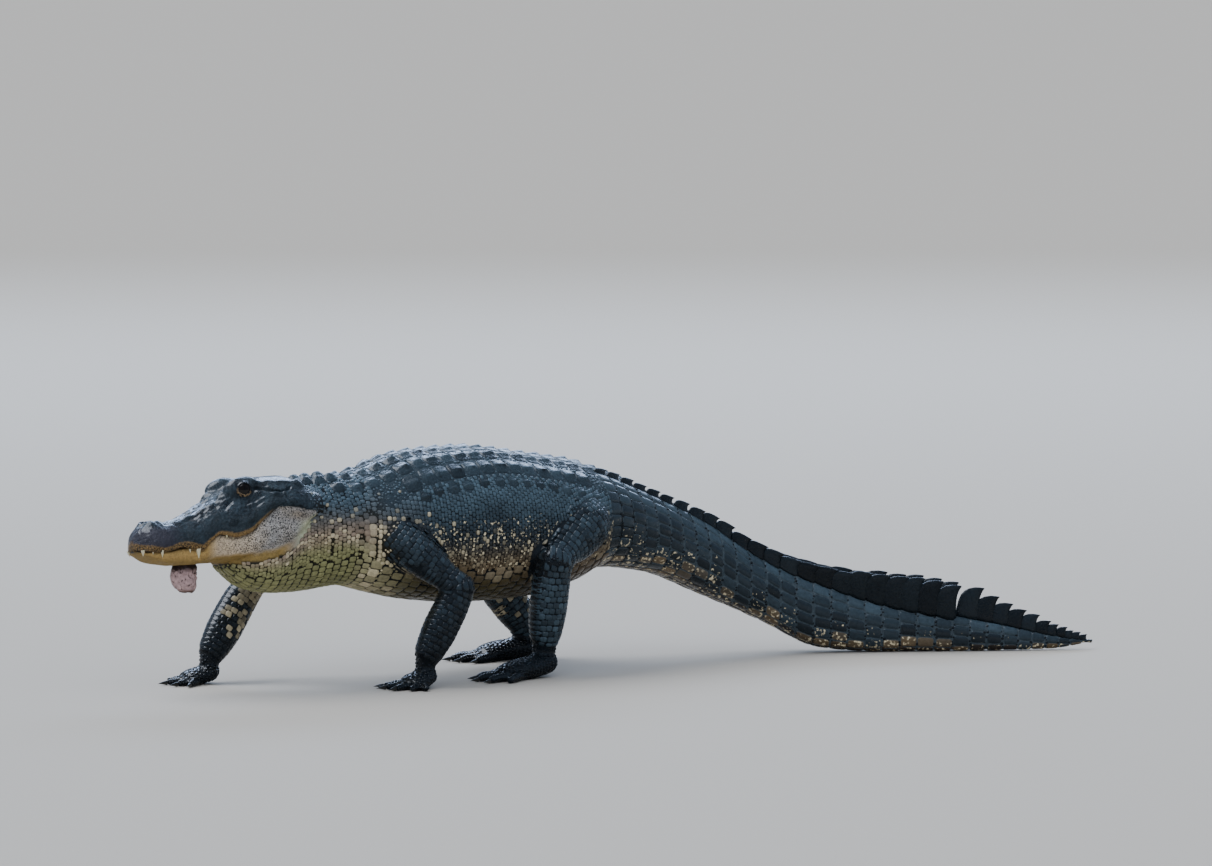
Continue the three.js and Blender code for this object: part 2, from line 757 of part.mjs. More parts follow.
/** A foot: pad and digits that end flat where the claws start, all resting on the floor. */
function foot(joint, heading, pad, digits, side) {
  const forward = new THREE.Vector3(-Math.cos(heading), Math.sin(heading), 0);
  const outward = new THREE.Vector3(forward.y, -forward.x, 0).multiplyScalar(side);
  const start = new THREE.Vector3(joint[0], joint[1], 0);
  const spot = (ahead, out, height) => {
    const point = start.clone().addScaledVector(forward, ahead).addScaledVector(outward, out);
    point.z = height;
    return point;
  };
  const rest = (thick, sides) => thick * Math.cos(Math.PI / sides) + PAD_LEVEL;
  const level = rest(pad.thick, LIMB_SIDES);
  const heel = joint[2] * HEEL_RISE;
  const tall = pad.thick + INSTEP;
  const station = (ahead, height, half, thick) => ({
    at: spot(ahead, 0, height).toArray(),
    deep: half,
    thick,
  });
  const sole = [
    station(-1.3 * pad.thick, heel + 1.5 * INSTEP, 0.5 * pad.thick, 0.5 * pad.thick),
    station(-0.7 * pad.thick, heel + INSTEP, 0.8 * pad.half, tall),
    station(0.3 * pad.length, level + INSTEP, 0.92 * pad.half, tall),
    station(0.75 * pad.length, level, pad.half, pad.thick),
    station(1.12 * pad.length, level - 3, 0.6 * pad.half, 0.6 * pad.thick),
  ];
  const pieces = [tube(sole, outward), ankleBall(joint, pad.thick * 1.25)];
  const claws = [];
  digits.spread.forEach((angle, number) => {
    const away = forward
      .clone()
      .multiplyScalar(Math.cos(angle))
      .addScaledVector(outward, Math.sin(angle));
    const across = new THREE.Vector3(-away.y, away.x, 0);
    const base = spot(pad.length * 0.72, pad.half * 0.78 * Math.sin(angle) * 1.25, 0);
    const reach = (share, height) =>
      base
        .clone()
        .addScaledVector(away, share * digits.length[number])
        .setZ(height)
        .toArray();
    const thick = pad.thick * DIGIT_THICK;
    const tip = thick * DIGIT_TIP;
    const digit = [
      { at: reach(-0.35, rest(thick, TOE_SIDES)), deep: thick },
      { at: reach(0.45, rest(thick, TOE_SIDES)), deep: thick },
      { at: reach(1, rest(tip, TOE_SIDES)), deep: tip },
    ];
    pieces.push(tube(digit, across, { sides: TOE_SIDES, facing: away }));
    if (number >= CLAWED) return;
    claws.push(claw(reach(1, 0), away, across, rest(tip, TOE_SIDES)));
  });
  return { solid: joined(pieces).intersect(ABOVE_FLOOR), claws };
}

/** A curved claw that starts a gap ahead of the digit's flat end. */
function claw(end, away, across, axis) {
  const root = Math.min(CLAW.root, axis * 0.85);
  const at = (ahead, height) =>
    new THREE.Vector3(...end).addScaledVector(away, ahead + GAP).setZ(height).toArray();
  return tube(
    [
      { at: at(0, axis), deep: root, thick: root },
      { at: at(CLAW.length * 0.5, axis + 0.4), deep: root * 0.68, thick: root * 0.75 },
      { at: at(CLAW.length, 1.5), deep: 0.7, thick: 0.7 },
    ],
    across,
    { sides: CLAW_SIDES, facing: away },
  );
}

/** Group that holds the finished nodes. */
const alligator = new THREE.Group();

/** Adds a node: a solid turned into a named mesh with its own finish. */
function addNode(name, solid, colour, roughness = SKIN_ROUGHNESS) {
  const mesh = solid.getMesh();
  const points = [];
  for (let i = 0; i < mesh.numVert; i += 1) {
    points.push(...mesh.vertProperties.slice(i * mesh.numProp, i * mesh.numProp + 3));
  }
  const geometry = new THREE.BufferGeometry();
  geometry.setAttribute("position", new THREE.Float32BufferAttribute(points, 3));
  geometry.setIndex([...mesh.triVerts]);
  geometry.computeVertexNormals();
  const material = new THREE.MeshStandardMaterial({ color: colour, roughness, metalness: 0 });
  const node = new THREE.Mesh(geometry, material);
  node.name = name;
  alligator.add(node);
}

/** Adds one leg as three nodes and its claws. */
function addLeg(name, joints, sizes, names, pad, digits, side, heading) {
  const [start, middle, end] = joints;
  const upper = largest(bone(start, middle, sizes[0]).subtract(bodyRoom));
  const lowerWhole = bone(middle, end, sizes[1]);
  const upperRoom = bone(start, middle, sizes[0], GAP);
  const lower = largest(lowerWhole.subtract(upperRoom).subtract(bodyRoom));
  const lowerRoom = bone(middle, end, sizes[1], GAP);
  const made = foot(end, heading, pad, digits, side);
  const last = largest(made.solid.subtract(lowerRoom));
  addNode(`${names[0]}_${name}`, upper, COLOURS.leg);
  addNode(`${names[1]}_${name}`, lower.intersect(ABOVE_FLOOR), COLOURS.leg);
  addNode(`${names[2]}_${name}`, last, COLOURS.leg);
  made.claws.forEach((solid, i) => {
    const clear = largest(solid.intersect(ABOVE_FLOOR));
    addNode(`claw_${names[2]}_${name}_${i + 1}`, clear, COLOURS.claw, CLAW_ROUGHNESS);
  });
}

/** Builds the head nodes: upper head, lower jaw, eyes and the growth under the jaw. */
function addHead() {
  addNode("head_upper", upperHead(), COLOURS.head);
  addNode("lower_jaw", largest(headLower.subtract(toothRoom)), COLOURS.jaw);
  addNode("eye_left", eyeBall(-1), COLOURS.eye, EYE_ROUGHNESS);
  addNode("eye_right", eyeBall(1), COLOURS.eye, EYE_ROUGHNESS);
  const lobe = (x, down, length, width) => ({
    at: [GROWTH.x + x, GROWTH.y, GROWTH.top - GROWTH.drop * down],
    deep: length / 2,
    thick: width / 2,
  });
  const growth = tube(
    [
      lobe(-8, -0.1, GROWTH.root, GROWTH.width * 0.8),
      lobe(-5, 0.16, GROWTH.root * 0.8, GROWTH.width * 0.8),
      lobe(0, 0.45, GROWTH.length, GROWTH.width),
      lobe(2, 0.8, GROWTH.length * 0.8, GROWTH.width * 0.84),
      lobe(4, 1, GROWTH.length * 0.36, GROWTH.width * 0.36),
    ],
    new THREE.Vector3(1, 0, 0),
  );
  addNode("throat_growth", largest(growth.subtract(headRoom)), COLOURS.growth);
}

/** Builds throat, neck, trunk and tail from the spine. */
function addBody() {
  const cut = (name) => spine.placeOf(name);
  const throatEnd = (cut("throatBack") + cut("skullBack")) / 2;
  addNode("throat", bodyLength(0, throatEnd, [headRoom]), COLOURS.throat);
  addNode("neck", bodyLength(throatEnd, spine.placeAtX(-575), [headRoom]), COLOURS.throat);
  const trunk = [
    ["chest", -575, -330, COLOURS.chest],
    ["belly", -330, -110, COLOURS.chest],
    ["pelvis", -110, TAIL_X, COLOURS.back],
  ];
  for (const [name, from, to, colour] of trunk) {
    addNode(name, bodyLength(spine.placeAtX(from), spine.placeAtX(to)), colour);
  }
  const root = spine.placeAtX(TAIL_X);
  const step = (spine.length - root) / TAIL_NODES;
  for (let number = 0; number < TAIL_NODES; number += 1) {
    const from = root + number * step;
    const to = number + 1 === TAIL_NODES ? spine.length : from + step;
    addNode(`tail_${number + 1}`, bodyLength(from, to), COLOURS.tail);
  }
}

/** Builds the four legs. */
function addLegs() {
  const fore = ["upper_arm", "forearm", "hand"];
  const hind = ["thigh", "shank", "foot"];
  for (const [name, at, side] of [["left", FORE_LEFT, -1], ["right", FORE_RIGHT, 1]]) {
    const joints = [at.shoulder, at.elbow, at.wrist];
    addLeg(name, joints, [UPPER_ARM, FOREARM], fore, PALM, FINGERS, side, at.heading);
  }
  for (const [name, at, side] of [["left", HIND_LEFT, -1], ["right", HIND_RIGHT, 1]]) {
    const joints = [at.hip, at.knee, at.ankle];
    addLeg(name, joints, [THIGH, SHANK], hind, SOLE, TOES, side, at.heading);
  }
}

addHead();
addBody();
addLegs();

const box = new THREE.Box3().setFromObject(alligator);
const centre = box.getCenter(new THREE.Vector3());
alligator.position.set(-centre.x, -centre.y, -box.min.z);

export default alligator;
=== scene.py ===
"""American alligator in its high walk, life size: skin, scales, plates, eyes, teeth and claws.

Metres, Z up, the floor at z = 0. The head points to -X, the tail to +X, and the animal's left
side is -Y. Places are written from the hip's plan origin, as the solids are, and HIP moves them
into the row frame.
"""
import logging
import math
from dataclasses import dataclass, field
from enum import Enum
from typing import Callable, Sequence

import bpy
import numpy as np
from mathutils import Matrix, Vector, noise
from mathutils.bvhtree import BVHTree
from mathutils.kdtree import KDTree


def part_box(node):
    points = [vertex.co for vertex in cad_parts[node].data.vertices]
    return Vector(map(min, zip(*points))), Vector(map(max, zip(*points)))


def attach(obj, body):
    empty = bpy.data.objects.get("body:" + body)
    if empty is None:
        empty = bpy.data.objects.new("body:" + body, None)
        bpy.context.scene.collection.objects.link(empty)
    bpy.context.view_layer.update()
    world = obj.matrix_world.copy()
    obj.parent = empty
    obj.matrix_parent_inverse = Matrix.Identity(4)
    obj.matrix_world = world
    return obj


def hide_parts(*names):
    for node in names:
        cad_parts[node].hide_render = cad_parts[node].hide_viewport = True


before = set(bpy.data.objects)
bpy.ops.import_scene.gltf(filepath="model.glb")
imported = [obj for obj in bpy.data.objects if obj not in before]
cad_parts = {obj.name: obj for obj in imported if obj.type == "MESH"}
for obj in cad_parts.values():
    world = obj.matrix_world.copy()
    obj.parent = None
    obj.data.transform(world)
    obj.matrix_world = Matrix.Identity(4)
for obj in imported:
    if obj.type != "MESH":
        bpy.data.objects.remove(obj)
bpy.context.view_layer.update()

LOG = logging.getLogger("alligator")
Array = np.ndarray
Item = bpy.types.Object
Socket = bpy.types.NodeSocket
Tree = bpy.types.NodeTree
Triple = tuple[float, float, float]
Colour = tuple[float, float, float, float]

# Depth of the scales over the skin, how deep a scale's edge is sunk in the skin, and how far
# every piece stays above the floor.
COAT_DEPTH = 0.0025
ROOT_DEPTH = 0.0014
FLOOR_CLEAR = 0.0002
# Grain of the fused skin, and the start of the random draws.
VOXEL = 0.0056
SEED = 41

# Throat, neck, trunk and tail: plan place, top and bottom of the flesh, half width, and the
# height of the crest above the flesh.
STATION_FIELDS = ("x", "y", "top", "bottom", "half", "crest")
STATIONS: dict[str, tuple[float, ...]] = {
    "chin fold": (-0.866, 0.025, 0.262, 0.250, 0.014, 0.0),
    "throat front": (-0.845, 0.023, 0.270, 0.226, 0.044, 0.0),
    "throat deep": (-0.798, 0.017, 0.296, 0.189, 0.074, 0.0),
    "throat back": (-0.755, 0.012, 0.330, 0.179, 0.084, 0.0),
    "skull back": (-0.704, 0.006, 0.384, 0.178, 0.090, 0.0),
    "nape": (-0.610, -0.002, 0.391, 0.186, 0.090, 0.0),
    "shoulder front": (-0.543, -0.005, 0.402, 0.171, 0.106, 0.0),
    "shoulder": (-0.447, -0.002, 0.427, 0.150, 0.130, 0.0),
    "ribs": (-0.305, 0.0, 0.431, 0.136, 0.146, 0.0),
    "belly": (-0.161, 0.002, 0.411, 0.139, 0.142, 0.0),
    "loin": (-0.066, 0.001, 0.395, 0.160, 0.124, 0.008),
    "hip": (0.0, 0.0, 0.376, 0.183, 0.108, 0.010),
    "tail root": (0.121, -0.006, 0.328, 0.169, 0.086, 0.012),
    "tail bend": (0.254, -0.022, 0.267, 0.118, 0.067, 0.020),
    "tail slope": (0.373, -0.057, 0.192, 0.063, 0.053, 0.026),
    "tail landing": (0.476, -0.113, 0.143, 0.008, 0.043, 0.036),
    "tail middle": (0.575, -0.175, 0.102, -0.0006, 0.033, 0.060),
    "tail fork": (0.670, -0.240, 0.076, -0.0006, 0.025, 0.068),
    "tail thin": (0.766, -0.306, 0.054, -0.0004, 0.017, 0.044),
    "tail end": (0.850, -0.356, 0.033, 0.001, 0.010, 0.022),
    "tail tip": (0.926, -0.394, 0.020, 0.013, 0.0025, 0.007),
}

# Head profile: distance ahead of the back of the skull, half width, top of the skull, line of
# the mouth and underside of the lower jaw.
HEAD_FIELDS = ("at", "half", "top", "mouth", "jaw")
HEAD_STATIONS: dict[str, tuple[float, ...]] = {
    "skull edge": (-0.008, 0.090, 0.380, 0.330, 0.308),
    "jowl": (0.010, 0.097, 0.3925, 0.330, 0.286),
    "jaw hinge": (0.030, 0.097, 0.3965, 0.336, 0.266),
    "mouth corner": (0.062, 0.091, 0.3965, 0.338, 0.251),
    "cheek": (0.092, 0.083, 0.3925, 0.319, 0.245),
    "eye": (0.120, 0.075, 0.382, 0.293, 0.243),
    "eye front": (0.148, 0.068, 0.368, 0.286, 0.242),
    "bridge": (0.176, 0.062, 0.351, 0.292, 0.241),
    "lip rise": (0.194, 0.060, 0.342, 0.282, 0.241),
    "lip bulge": (0.216, 0.059, 0.332, 0.266, 0.240),
    "notch": (0.250, 0.052, 0.321, 0.272, 0.240),
    "nose back": (0.274, 0.053, 0.320, 0.268, 0.243),
    "nostril": (0.295, 0.050, 0.321, 0.267, 0.2475),
    "nose front": (0.312, 0.042, 0.315, 0.268, 0.2575),
    "snout round": (0.3235, 0.029, 0.304, 0.269, 0.2635),
    "snout tip": (0.3305, 0.012, 0.291, 0.271, 0.2690),
}
HEAD_BACK = (-0.704, 0.006)
HEAD_TURN = math.radians(6.7)
HEAD_ROLL = math.radians(6.0)
ROLL_HEIGHT = 0.330

# Spacing of the rows of plates along the body, and where the back's first row stands.
ROW_STEP = 0.034
BACK_FIRST_X = -0.592
BACK_ROW_COUNT = 17
BACK_PITCH = 0.041
FORK_X = 0.688

# Straight up, and the way that the granules point: rearward and a little down.
UP = np.array([0.0, 0.0, 1.0])
REARWARD = np.array([1.0, 0.0, -0.15])
# How far a claw's root points up, to one ahead.
CLAW_RISE = 0.17


class Side(Enum):
    """The animal's own left and right, as the sign of Y."""

    LEFT = -1
    RIGHT = 1


class Tone(Enum):
    """Colours of the living hide, as sRGB hex; a few also stand for painted sheen or painted shade."""

    BLUE_BLACK = "#0b1116"
    SLATE = "#18222a"
    # Painted sheen: the blue-grey that wet hide shows from the sky's reflection, mixed into the dark
    # tones.
    FLANK_BLUE = "#3c4b54"
    JAW_PINK = "#dfcaae"
    GREY_GREEN = "#283133"
    # Dark seams between scales; also painted shade under the upper lip and in the mouth's slit.
    SEAM = "#06080a"
    TAIL_SEAM = "#5c6a72"
    SNOUT_PLUM = "#37333c"
    LIP_OCHRE = "#8a6d44"
    JAW_OCHRE = "#b29158"
    OLIVE = "#655829"
    JOWL_GREY = "#a1a2a3"
    JOWL_PALE = "#cdc2b4"
    JOWL_YELLOW = "#b9bb9c"
    SCAR_PINK = "#b58f86"
    # Yellow-green of the throat, darkened as painted shade.
    THROAT = "#86845a"
    CREAM = "#d8c8a4"
    TAN = "#7d6849"
    # Tan of the belly, front and rear, darkened as painted shade under the body.
    BELLY = "#463f26"
    BELLY_REAR = "#45382a"
    NECK_GREY = "#575653"
    NECK_PEACH = "#a38c75"
    TAIL_BROWN = "#2e231a"
    LID_TAN = "#a58a66"
    SPECK = "#101213"
    IRIS = "#100a07"
    EYE_RIM = "#080605"
    PUPIL = "#030303"
    GROWTH_PINK = "#cfadaa"
    GROWTH_GREY = "#9a8281"
    GROWTH_STALK = "#2b2324"
    GROWTH_TIP = "#54382a"


def linear(hex_code: str) -> Colour:
    """Turns an sRGB hex colour into Blender's linear colour.

    Args:
        hex_code: The colour as #rrggbb.

    Returns:
        Red, green, blue and an alpha of one.
    """
    parts = [int(hex_code[i : i + 2], 16) / 255 for i in (1, 3, 5)]
    line = [c / 12.92 if c <= 0.04045 else ((c + 0.055) / 1.055) ** 2.4 for c in parts]
    return (line[0], line[1], line[2], 1.0)


def tone(name: Tone) -> Array:
    """The linear red, green and blue of a tone of the hide."""
    return np.array(linear(name.value)[:3])


def mix(low: Array | Tone, high: Array | Tone, share: Array | float) -> Array:
    """Colours from low at a share of 0 to high at 1, one row for each share."""
    low, high = (tone(end) if isinstance(end, Tone) else end for end in (low, high))
    return low + (high - low) * np.asarray(share)[..., None]


def smoothstep(value: Array, low: float, high: float) -> Array:
    """Rises smoothly from 0 at low to 1 at high."""
    t = np.clip((np.asarray(value, float) - low) / (high - low), 0.0, 1.0)
    return t * t * (3.0 - 2.0 * t)


def fall(value: Array, low: float, high: float) -> Array:
    """Falls smoothly from 1 at low to 0 at high."""
    return 1 - smoothstep(value, low, high)


def rounded(value: Array, power: float | Array) -> Array:
    """A power of a sine or cosine that keeps its sign, for a rounded-square section."""
    return np.sign(value) * np.abs(value) ** power


def unit(vectors: Array) -> Array:
    """Vectors scaled to a length of one."""
    return vectors / (np.linalg.norm(vectors, axis=-1, keepdims=True) + 1e-12)


def smooth_curve(xs: Array, ys: Array) -> Callable[[Array], Array]:
    """A smooth curve without overshoot through values at rising places.

    Args:
        xs: The places.
        ys: The values there.

    Returns:
        A function that gives the curve at any places.
    """
    xs, ys = np.asarray(xs, float), np.asarray(ys, float)
    rise = np.diff(ys) / np.diff(xs)
    slope = np.concatenate([rise[:1], np.zeros(len(xs) - 2), rise[-1:]])
    same = rise[:-1] * rise[1:] > 0
    both = 2 * rise[:-1] * rise[1:] / np.where(same, rise[:-1] + rise[1:], 1.0)
    slope[1:-1] = np.where(same, both, 0.0)

    def curve(at: Array) -> Array:
        """The curve's value at the places given."""
        x = np.clip(np.asarray(at, float), xs[0], xs[-1])
        i = np.clip(np.searchsorted(xs, x) - 1, 0, len(xs) - 2)
        span = xs[i + 1] - xs[i]
        t = (x - xs[i]) / span
        ends = ys[i] * (1 + 2 * t) * (1 - t) ** 2 + ys[i + 1] * t * t * (3 - 2 * t)
        return ends + span * (slope[i] * t * (1 - t) ** 2 - slope[i + 1] * t * t * (1 - t))

    return curve


def ripple(points: Array, size: float) -> Array:
    """Smooth noise about 0 at some places, with waves of a given size."""
    return np.array([noise.noise(Vector(point) / size) for point in points])


def mottle(points: Array, size: float) -> Array:
    """Smooth noise from about 0 to 1 at some places, with patches of a given size."""
    return 0.5 + 0.5 * ripple(points, size)


def point_tree(points: Array) -> KDTree:
    """A search tree of points, numbered in their order."""
    tree = KDTree(len(points))
    for number, point in enumerate(points):
        tree.insert(point, number)
    tree.balance()
    return tree


def tube_quads(count: int, sides: int) -> list[list[int]]:
    """Faces between rings of points that are numbered ring after ring."""
    starts = [
        (n * sides + i, n * sides + (i + 1) % sides) for n in range(count - 1) for i in range(sides)
    ]
    return [[a, b, b + sides, a + sides] for a, b in starts]


def flat_faces(faces: Sequence[Sequence[int]]) -> tuple[Array, Array]:
    """Vertex numbers of all faces, one after the other, and where each face starts."""
    sizes = np.array([len(face) for face in faces])
    return np.concatenate(faces), np.concatenate([[0], np.cumsum(sizes)[:-1]])


def select_only(*objects: Item) -> None:
    """Deselects everything, then selects these objects and makes the first one active."""
    bpy.ops.object.select_all(action="DESELECT")
    for item in objects:
        item.select_set(True)
    bpy.context.view_layer.objects.active = objects[0]


def apply_modifier(item: Item, kind: str, **settings: object) -> None:
    """Adds a modifier to an object and applies it.

    Args:
        item: The object.
        kind: Blender's name of the modifier.
        **settings: Its settings.
    """
    select_only(item)
    modifier = item.modifiers.new(kind.title(), kind)
    for name, value in settings.items():
        setattr(modifier, name, value)
    bpy.ops.object.modifier_apply(modifier=modifier.name)


def mesh_object(name: str, points: Array, loops: Array, starts: Array) -> Item:
    """A mesh object from flat arrays.

    Args:
        name: Name of the object and its mesh.
        points: Vertices, one row each.
        loops: Vertex numbers of every face, one face after the other.
        starts: Where each face starts in loops.

    Returns:
        The new object, linked to the scene.
    """
    mesh = bpy.data.meshes.new(name)
    mesh.vertices.add(len(points))
    mesh.vertices.foreach_set("co", np.asarray(points, np.float32).ravel())
    mesh.loops.add(len(loops))
    mesh.loops.foreach_set("vertex_index", np.asarray(loops, np.int32))
    mesh.polygons.add(len(starts))
    mesh.polygons.foreach_set("loop_start", np.asarray(starts, np.int32))
    mesh.update(calc_edges=True)
    mesh.validate()
    item = bpy.data.objects.new(name, mesh)
    bpy.context.scene.collection.objects.link(item)
    return item


def form_object(name: str, points: Array, faces: Sequence[Sequence[int]]) -> Item:
    """A closed form as an object, linked to the scene and the only one selected."""
    mesh = bpy.data.meshes.new(name)
    mesh.from_pydata(np.asarray(points).tolist(), [], faces)
    item = bpy.data.objects.new(name, mesh)
    bpy.context.scene.collection.objects.link(item)
    select_only(item)
    return item


def vertex_points(item: Item) -> Array:
    """The vertices of an object's mesh, one row each."""
    points = np.empty(len(item.data.vertices) * 3, np.float32)
    item.data.vertices.foreach_get("co", points)
    return points.reshape(-1, 3).astype(float)


def move_vertices(item: Item, points: Array) -> None:
    """Moves the vertices of an object's mesh to new places."""
    item.data.vertices.foreach_set("co", points.astype(np.float32).ravel())
    item.data.update()


def set_tint(item: Item, colours: Array) -> None:
    """Stores the hide's colours on a mesh: the tint, and in alpha the share of the accent."""
    layer = item.data.color_attributes.new("Tint", "FLOAT_COLOR", "POINT")
    layer.data.foreach_set("color", np.asarray(colours, np.float32).ravel())


def set_map(item: Item, spots: Array) -> None:
    """Stores the unwrapped place of every corner of a mesh, for baking."""
    layer = item.data.uv_layers.new(name="OFBake")
    layer.data.foreach_set("uv", spots.astype(np.float32).ravel())


def settle_piece(
    item: Item, material: bpy.types.Material, names: Sequence[str] = ()
) -> None:
    """Gives a finished piece its material and body, and hides the solids that it stands for.

    Args:
        item: The finished piece.
        material: Its finish.
        names: The solids that it replaces.
    """
    item.data.materials.clear()
    item.data.materials.append(material)
    item.data.shade_smooth()
    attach(item, "root")
    if names:
        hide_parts(*names)
    triangles = sum(len(face.vertices) - 2 for face in item.data.polygons)
    LOG.info("%s: %d triangles", item.name, triangles)


@dataclass
class Surface:
    """A sheet of skin that scales are laid on, as a grid of points.

    Rows run along the body or limb. A turn of 0 is the back's line, or a limb's front line, and
    turns of -1 and 1 are the same line on the far side.
    """

    name: str
    points: Array
    along: Array
    girth: Array
    normals: Array = field(init=False)
    handed: float = field(init=False)

    def __post_init__(self) -> None:
        """Works out the normals, which point away from the middle of each row."""
        across = np.empty_like(self.points)
        across[:, 1:-1] = self.points[:, 2:] - self.points[:, :-2]
        across[:, 0] = across[:, -1] = self.points[:, 1] - self.points[:, -2]
        normals = unit(np.cross(np.gradient(self.points, axis=0), across))
        middle = self.points[:, :-1].mean(axis=1, keepdims=True)
        self.handed = float(np.sign(((self.points - middle) * normals).sum()))
        self.normals = normals * self.handed

    @property
    def length(self) -> float:
        """Length from the first row to the last."""
        return float(self.along[-1])

    def sample(self, u: Array, turn: Array) -> tuple[Array, Array]:
        """Points and normals at ways along and turns round.

        Args:
            u: Distance along, in metres.
            turn: Turn round, where a whole turn is 2.

        Returns:
            The points and the normals.
        """
        rows, columns = self.points.shape[:2]
        i = np.interp(u, self.along, np.arange(rows))
        j = ((np.asarray(turn) + 1.0) % 2.0) / 2.0 * (columns - 1)
        i0 = np.clip(np.floor(i).astype(int), 0, rows - 2)
        j0 = np.clip(np.floor(j).astype(int), 0, columns - 2)
        a, b = (i - i0)[..., None], (j - j0)[..., None]
        found = []
        for grid in (self.points, self.normals):
            near = grid[i0, j0] * (1 - b) + grid[i0, j0 + 1] * b
            far = grid[i0 + 1, j0] * (1 - b) + grid[i0 + 1, j0 + 1] * b
            found.append(near * (1 - a) + far * a)
        return found[0], unit(found[1])

    def girth_at(self, u: Array) -> Array:
        """Half the way round at a distance along."""
        return np.interp(u, self.along, self.girth)

    def locate(self, points: Array) -> tuple[Array, Array]:
        """Distance along and turn round of the sheet's points nearest to some places."""
        columns = self.points.shape[1]
        tree = point_tree(self.points.reshape(-1, 3))
        found = np.array([tree.find(Vector(point))[1] for point in points])
        return self.along[found // columns], 2.0 * (found % columns) / (columns - 1) - 1.0

    def closed_mesh(self, row_step: int, turn_step: int) -> tuple[Array, list[list[int]]]:
        """The sheet as a closed form with domed ends.

        Args:
            row_step: Rows of the grid to a ring of the form.
            turn_step: Columns of the grid to a side of the form.

        Returns:
            Its points and faces.
        """
        rings = self.points[::row_step, :-1:turn_step]
        count, sides = rings.shape[:2]
        points = [*rings.reshape(-1, 3), rings[0].mean(axis=0), rings[-1].mean(axis=0)]
        faces = tube_quads(count, sides)
        last = (count - 1) * sides
        for side in range(sides):
            after = (side + 1) % sides
            faces.append([after, side, count * sides])
            faces.append([last + side, last + after, count * sides + 1])
        if self.handed > 0:
            faces = [face[::-1] for face in faces]
        return np.array(points), faces


class Midline:
    """Midline of throat, neck, trunk and tail, and the section of the flesh round it."""

    SECTION_STEPS = 121
    # How far ahead and behind the midline's direction is measured.
    REACH = 0.006

    def __init__(self) -> None:
        """Measures the way along the stations and fits a smooth curve to each size."""
        rows = np.array(list(STATIONS.values()))
        steps = np.hypot(*np.diff(rows[:, :2], axis=0).T)
        self.places = np.concatenate([[0.0], np.cumsum(steps)])
        self.length = float(self.places[-1])
        self.station = dict(zip(STATIONS, self.places))
        self.curve = {
            name: smooth_curve(self.places, rows[:, i]) for i, name in enumerate(STATION_FIELDS)
        }

    def place_at_x(self, x: float) -> float:
        """Distance along the midline where it passes an X."""
        places = np.linspace(0.0, self.length, 4001)
        return float(np.interp(x, self.curve["x"](places), places))

    def right(self, place: float) -> Array:
        """Direction towards the animal's right, in plan."""
        ends = [np.array([self.curve[k](place + sign * self.REACH) for k in "xy"]) for sign in (-1, 1)]
        along = unit(ends[1] - ends[0])
        return np.array([-along[1], along[0], 0.0])

    def half_section(self, place: float, grow: float) -> Array:
        """One side's section at a place.

        Args:
            place: Distance along the midline.
            grow: How far the section is grown outward.

        Returns:
            Points of side and height, from the back's line round to the belly's.
        """
        tailness = smoothstep(place, self.station["hip"], self.station["tail slope"])
        top = self.curve["top"](place) + grow
        bottom = self.curve["bottom"](place) - grow
        half = max(float(self.curve["half"](place)) + grow, 0.0022)
        top, bottom = max(top, bottom + 0.006), min(bottom, top - 0.006)
        waist = bottom + (top - bottom) * (0.5 - 0.06 * tailness)
        power = 2.0 / (2.25 + 0.25 * tailness)
        angle = np.linspace(math.pi / 2, -math.pi / 2, self.SECTION_STEPS)
        lift = rounded(np.sin(angle), power)
        height = waist + np.where(lift > 0, top - waist, waist - bottom) * lift
        return np.stack([half * np.abs(rounded(np.cos(angle), power)), height], axis=1)

    def surface(self, grow: float, step: float = 0.005, columns: int = 65) -> Surface:
        """The whole body's skin as a sheet, grown outward by an amount.

        Args:
            grow: How far the sheet lies outside the flesh.
            step: Distance between rows.
            columns: Points from the back's line to the belly's.

        Returns:
            The sheet.
        """
        places = np.linspace(0.0, self.length, int(self.length / step) + 1)
        shares = np.linspace(0.0, 1.0, columns)
        rows, girth = [], []
        for place in places:
            half = self.half_section(place, grow)
            way = np.concatenate([[0.0], np.cumsum(np.hypot(*np.diff(half, axis=0).T))])
            out = np.interp(shares * way[-1], way, half[:, 0])
            height = np.interp(shares * way[-1], way, half[:, 1])
            middle = np.array([self.curve["x"](place), self.curve["y"](place), 0.0]) + HIP
            sides = []
            for sign in (-1.0, 1.0):
                side = middle + sign * out[:, None] * self.right(place)
                side[:, 2] = height
                sides.append(side)
            rows.append(np.concatenate([sides[0][::-1], sides[1][1:]]))
            girth.append(way[-1])
        return Surface("body", np.array(rows), places, np.array(girth))


def head_place(at: Array, side: Array, height: Array) -> Array:
    """Places on the head, from the hip's plan origin.

    Args:
        at: Distance ahead of the back of the skull.
        side: Distance to the animal's right of the head's midline.
        height: Height before the head is rolled.

    Returns:
        The places, one row each.
    """
    rise = np.asarray(height) - ROLL_HEIGHT
    out = side * math.cos(HEAD_ROLL) + rise * math.sin(HEAD_ROLL)
    c, s = math.cos(HEAD_TURN), math.sin(HEAD_TURN)
    x = HEAD_BACK[0] - c * np.asarray(at) + s * out
    y = HEAD_BACK[1] + s * np.asarray(at) + c * out
    z = ROLL_HEIGHT + rise * math.cos(HEAD_ROLL) - side * math.sin(HEAD_ROLL)
    return np.stack(np.broadcast_arrays(x, y, z), axis=-1)


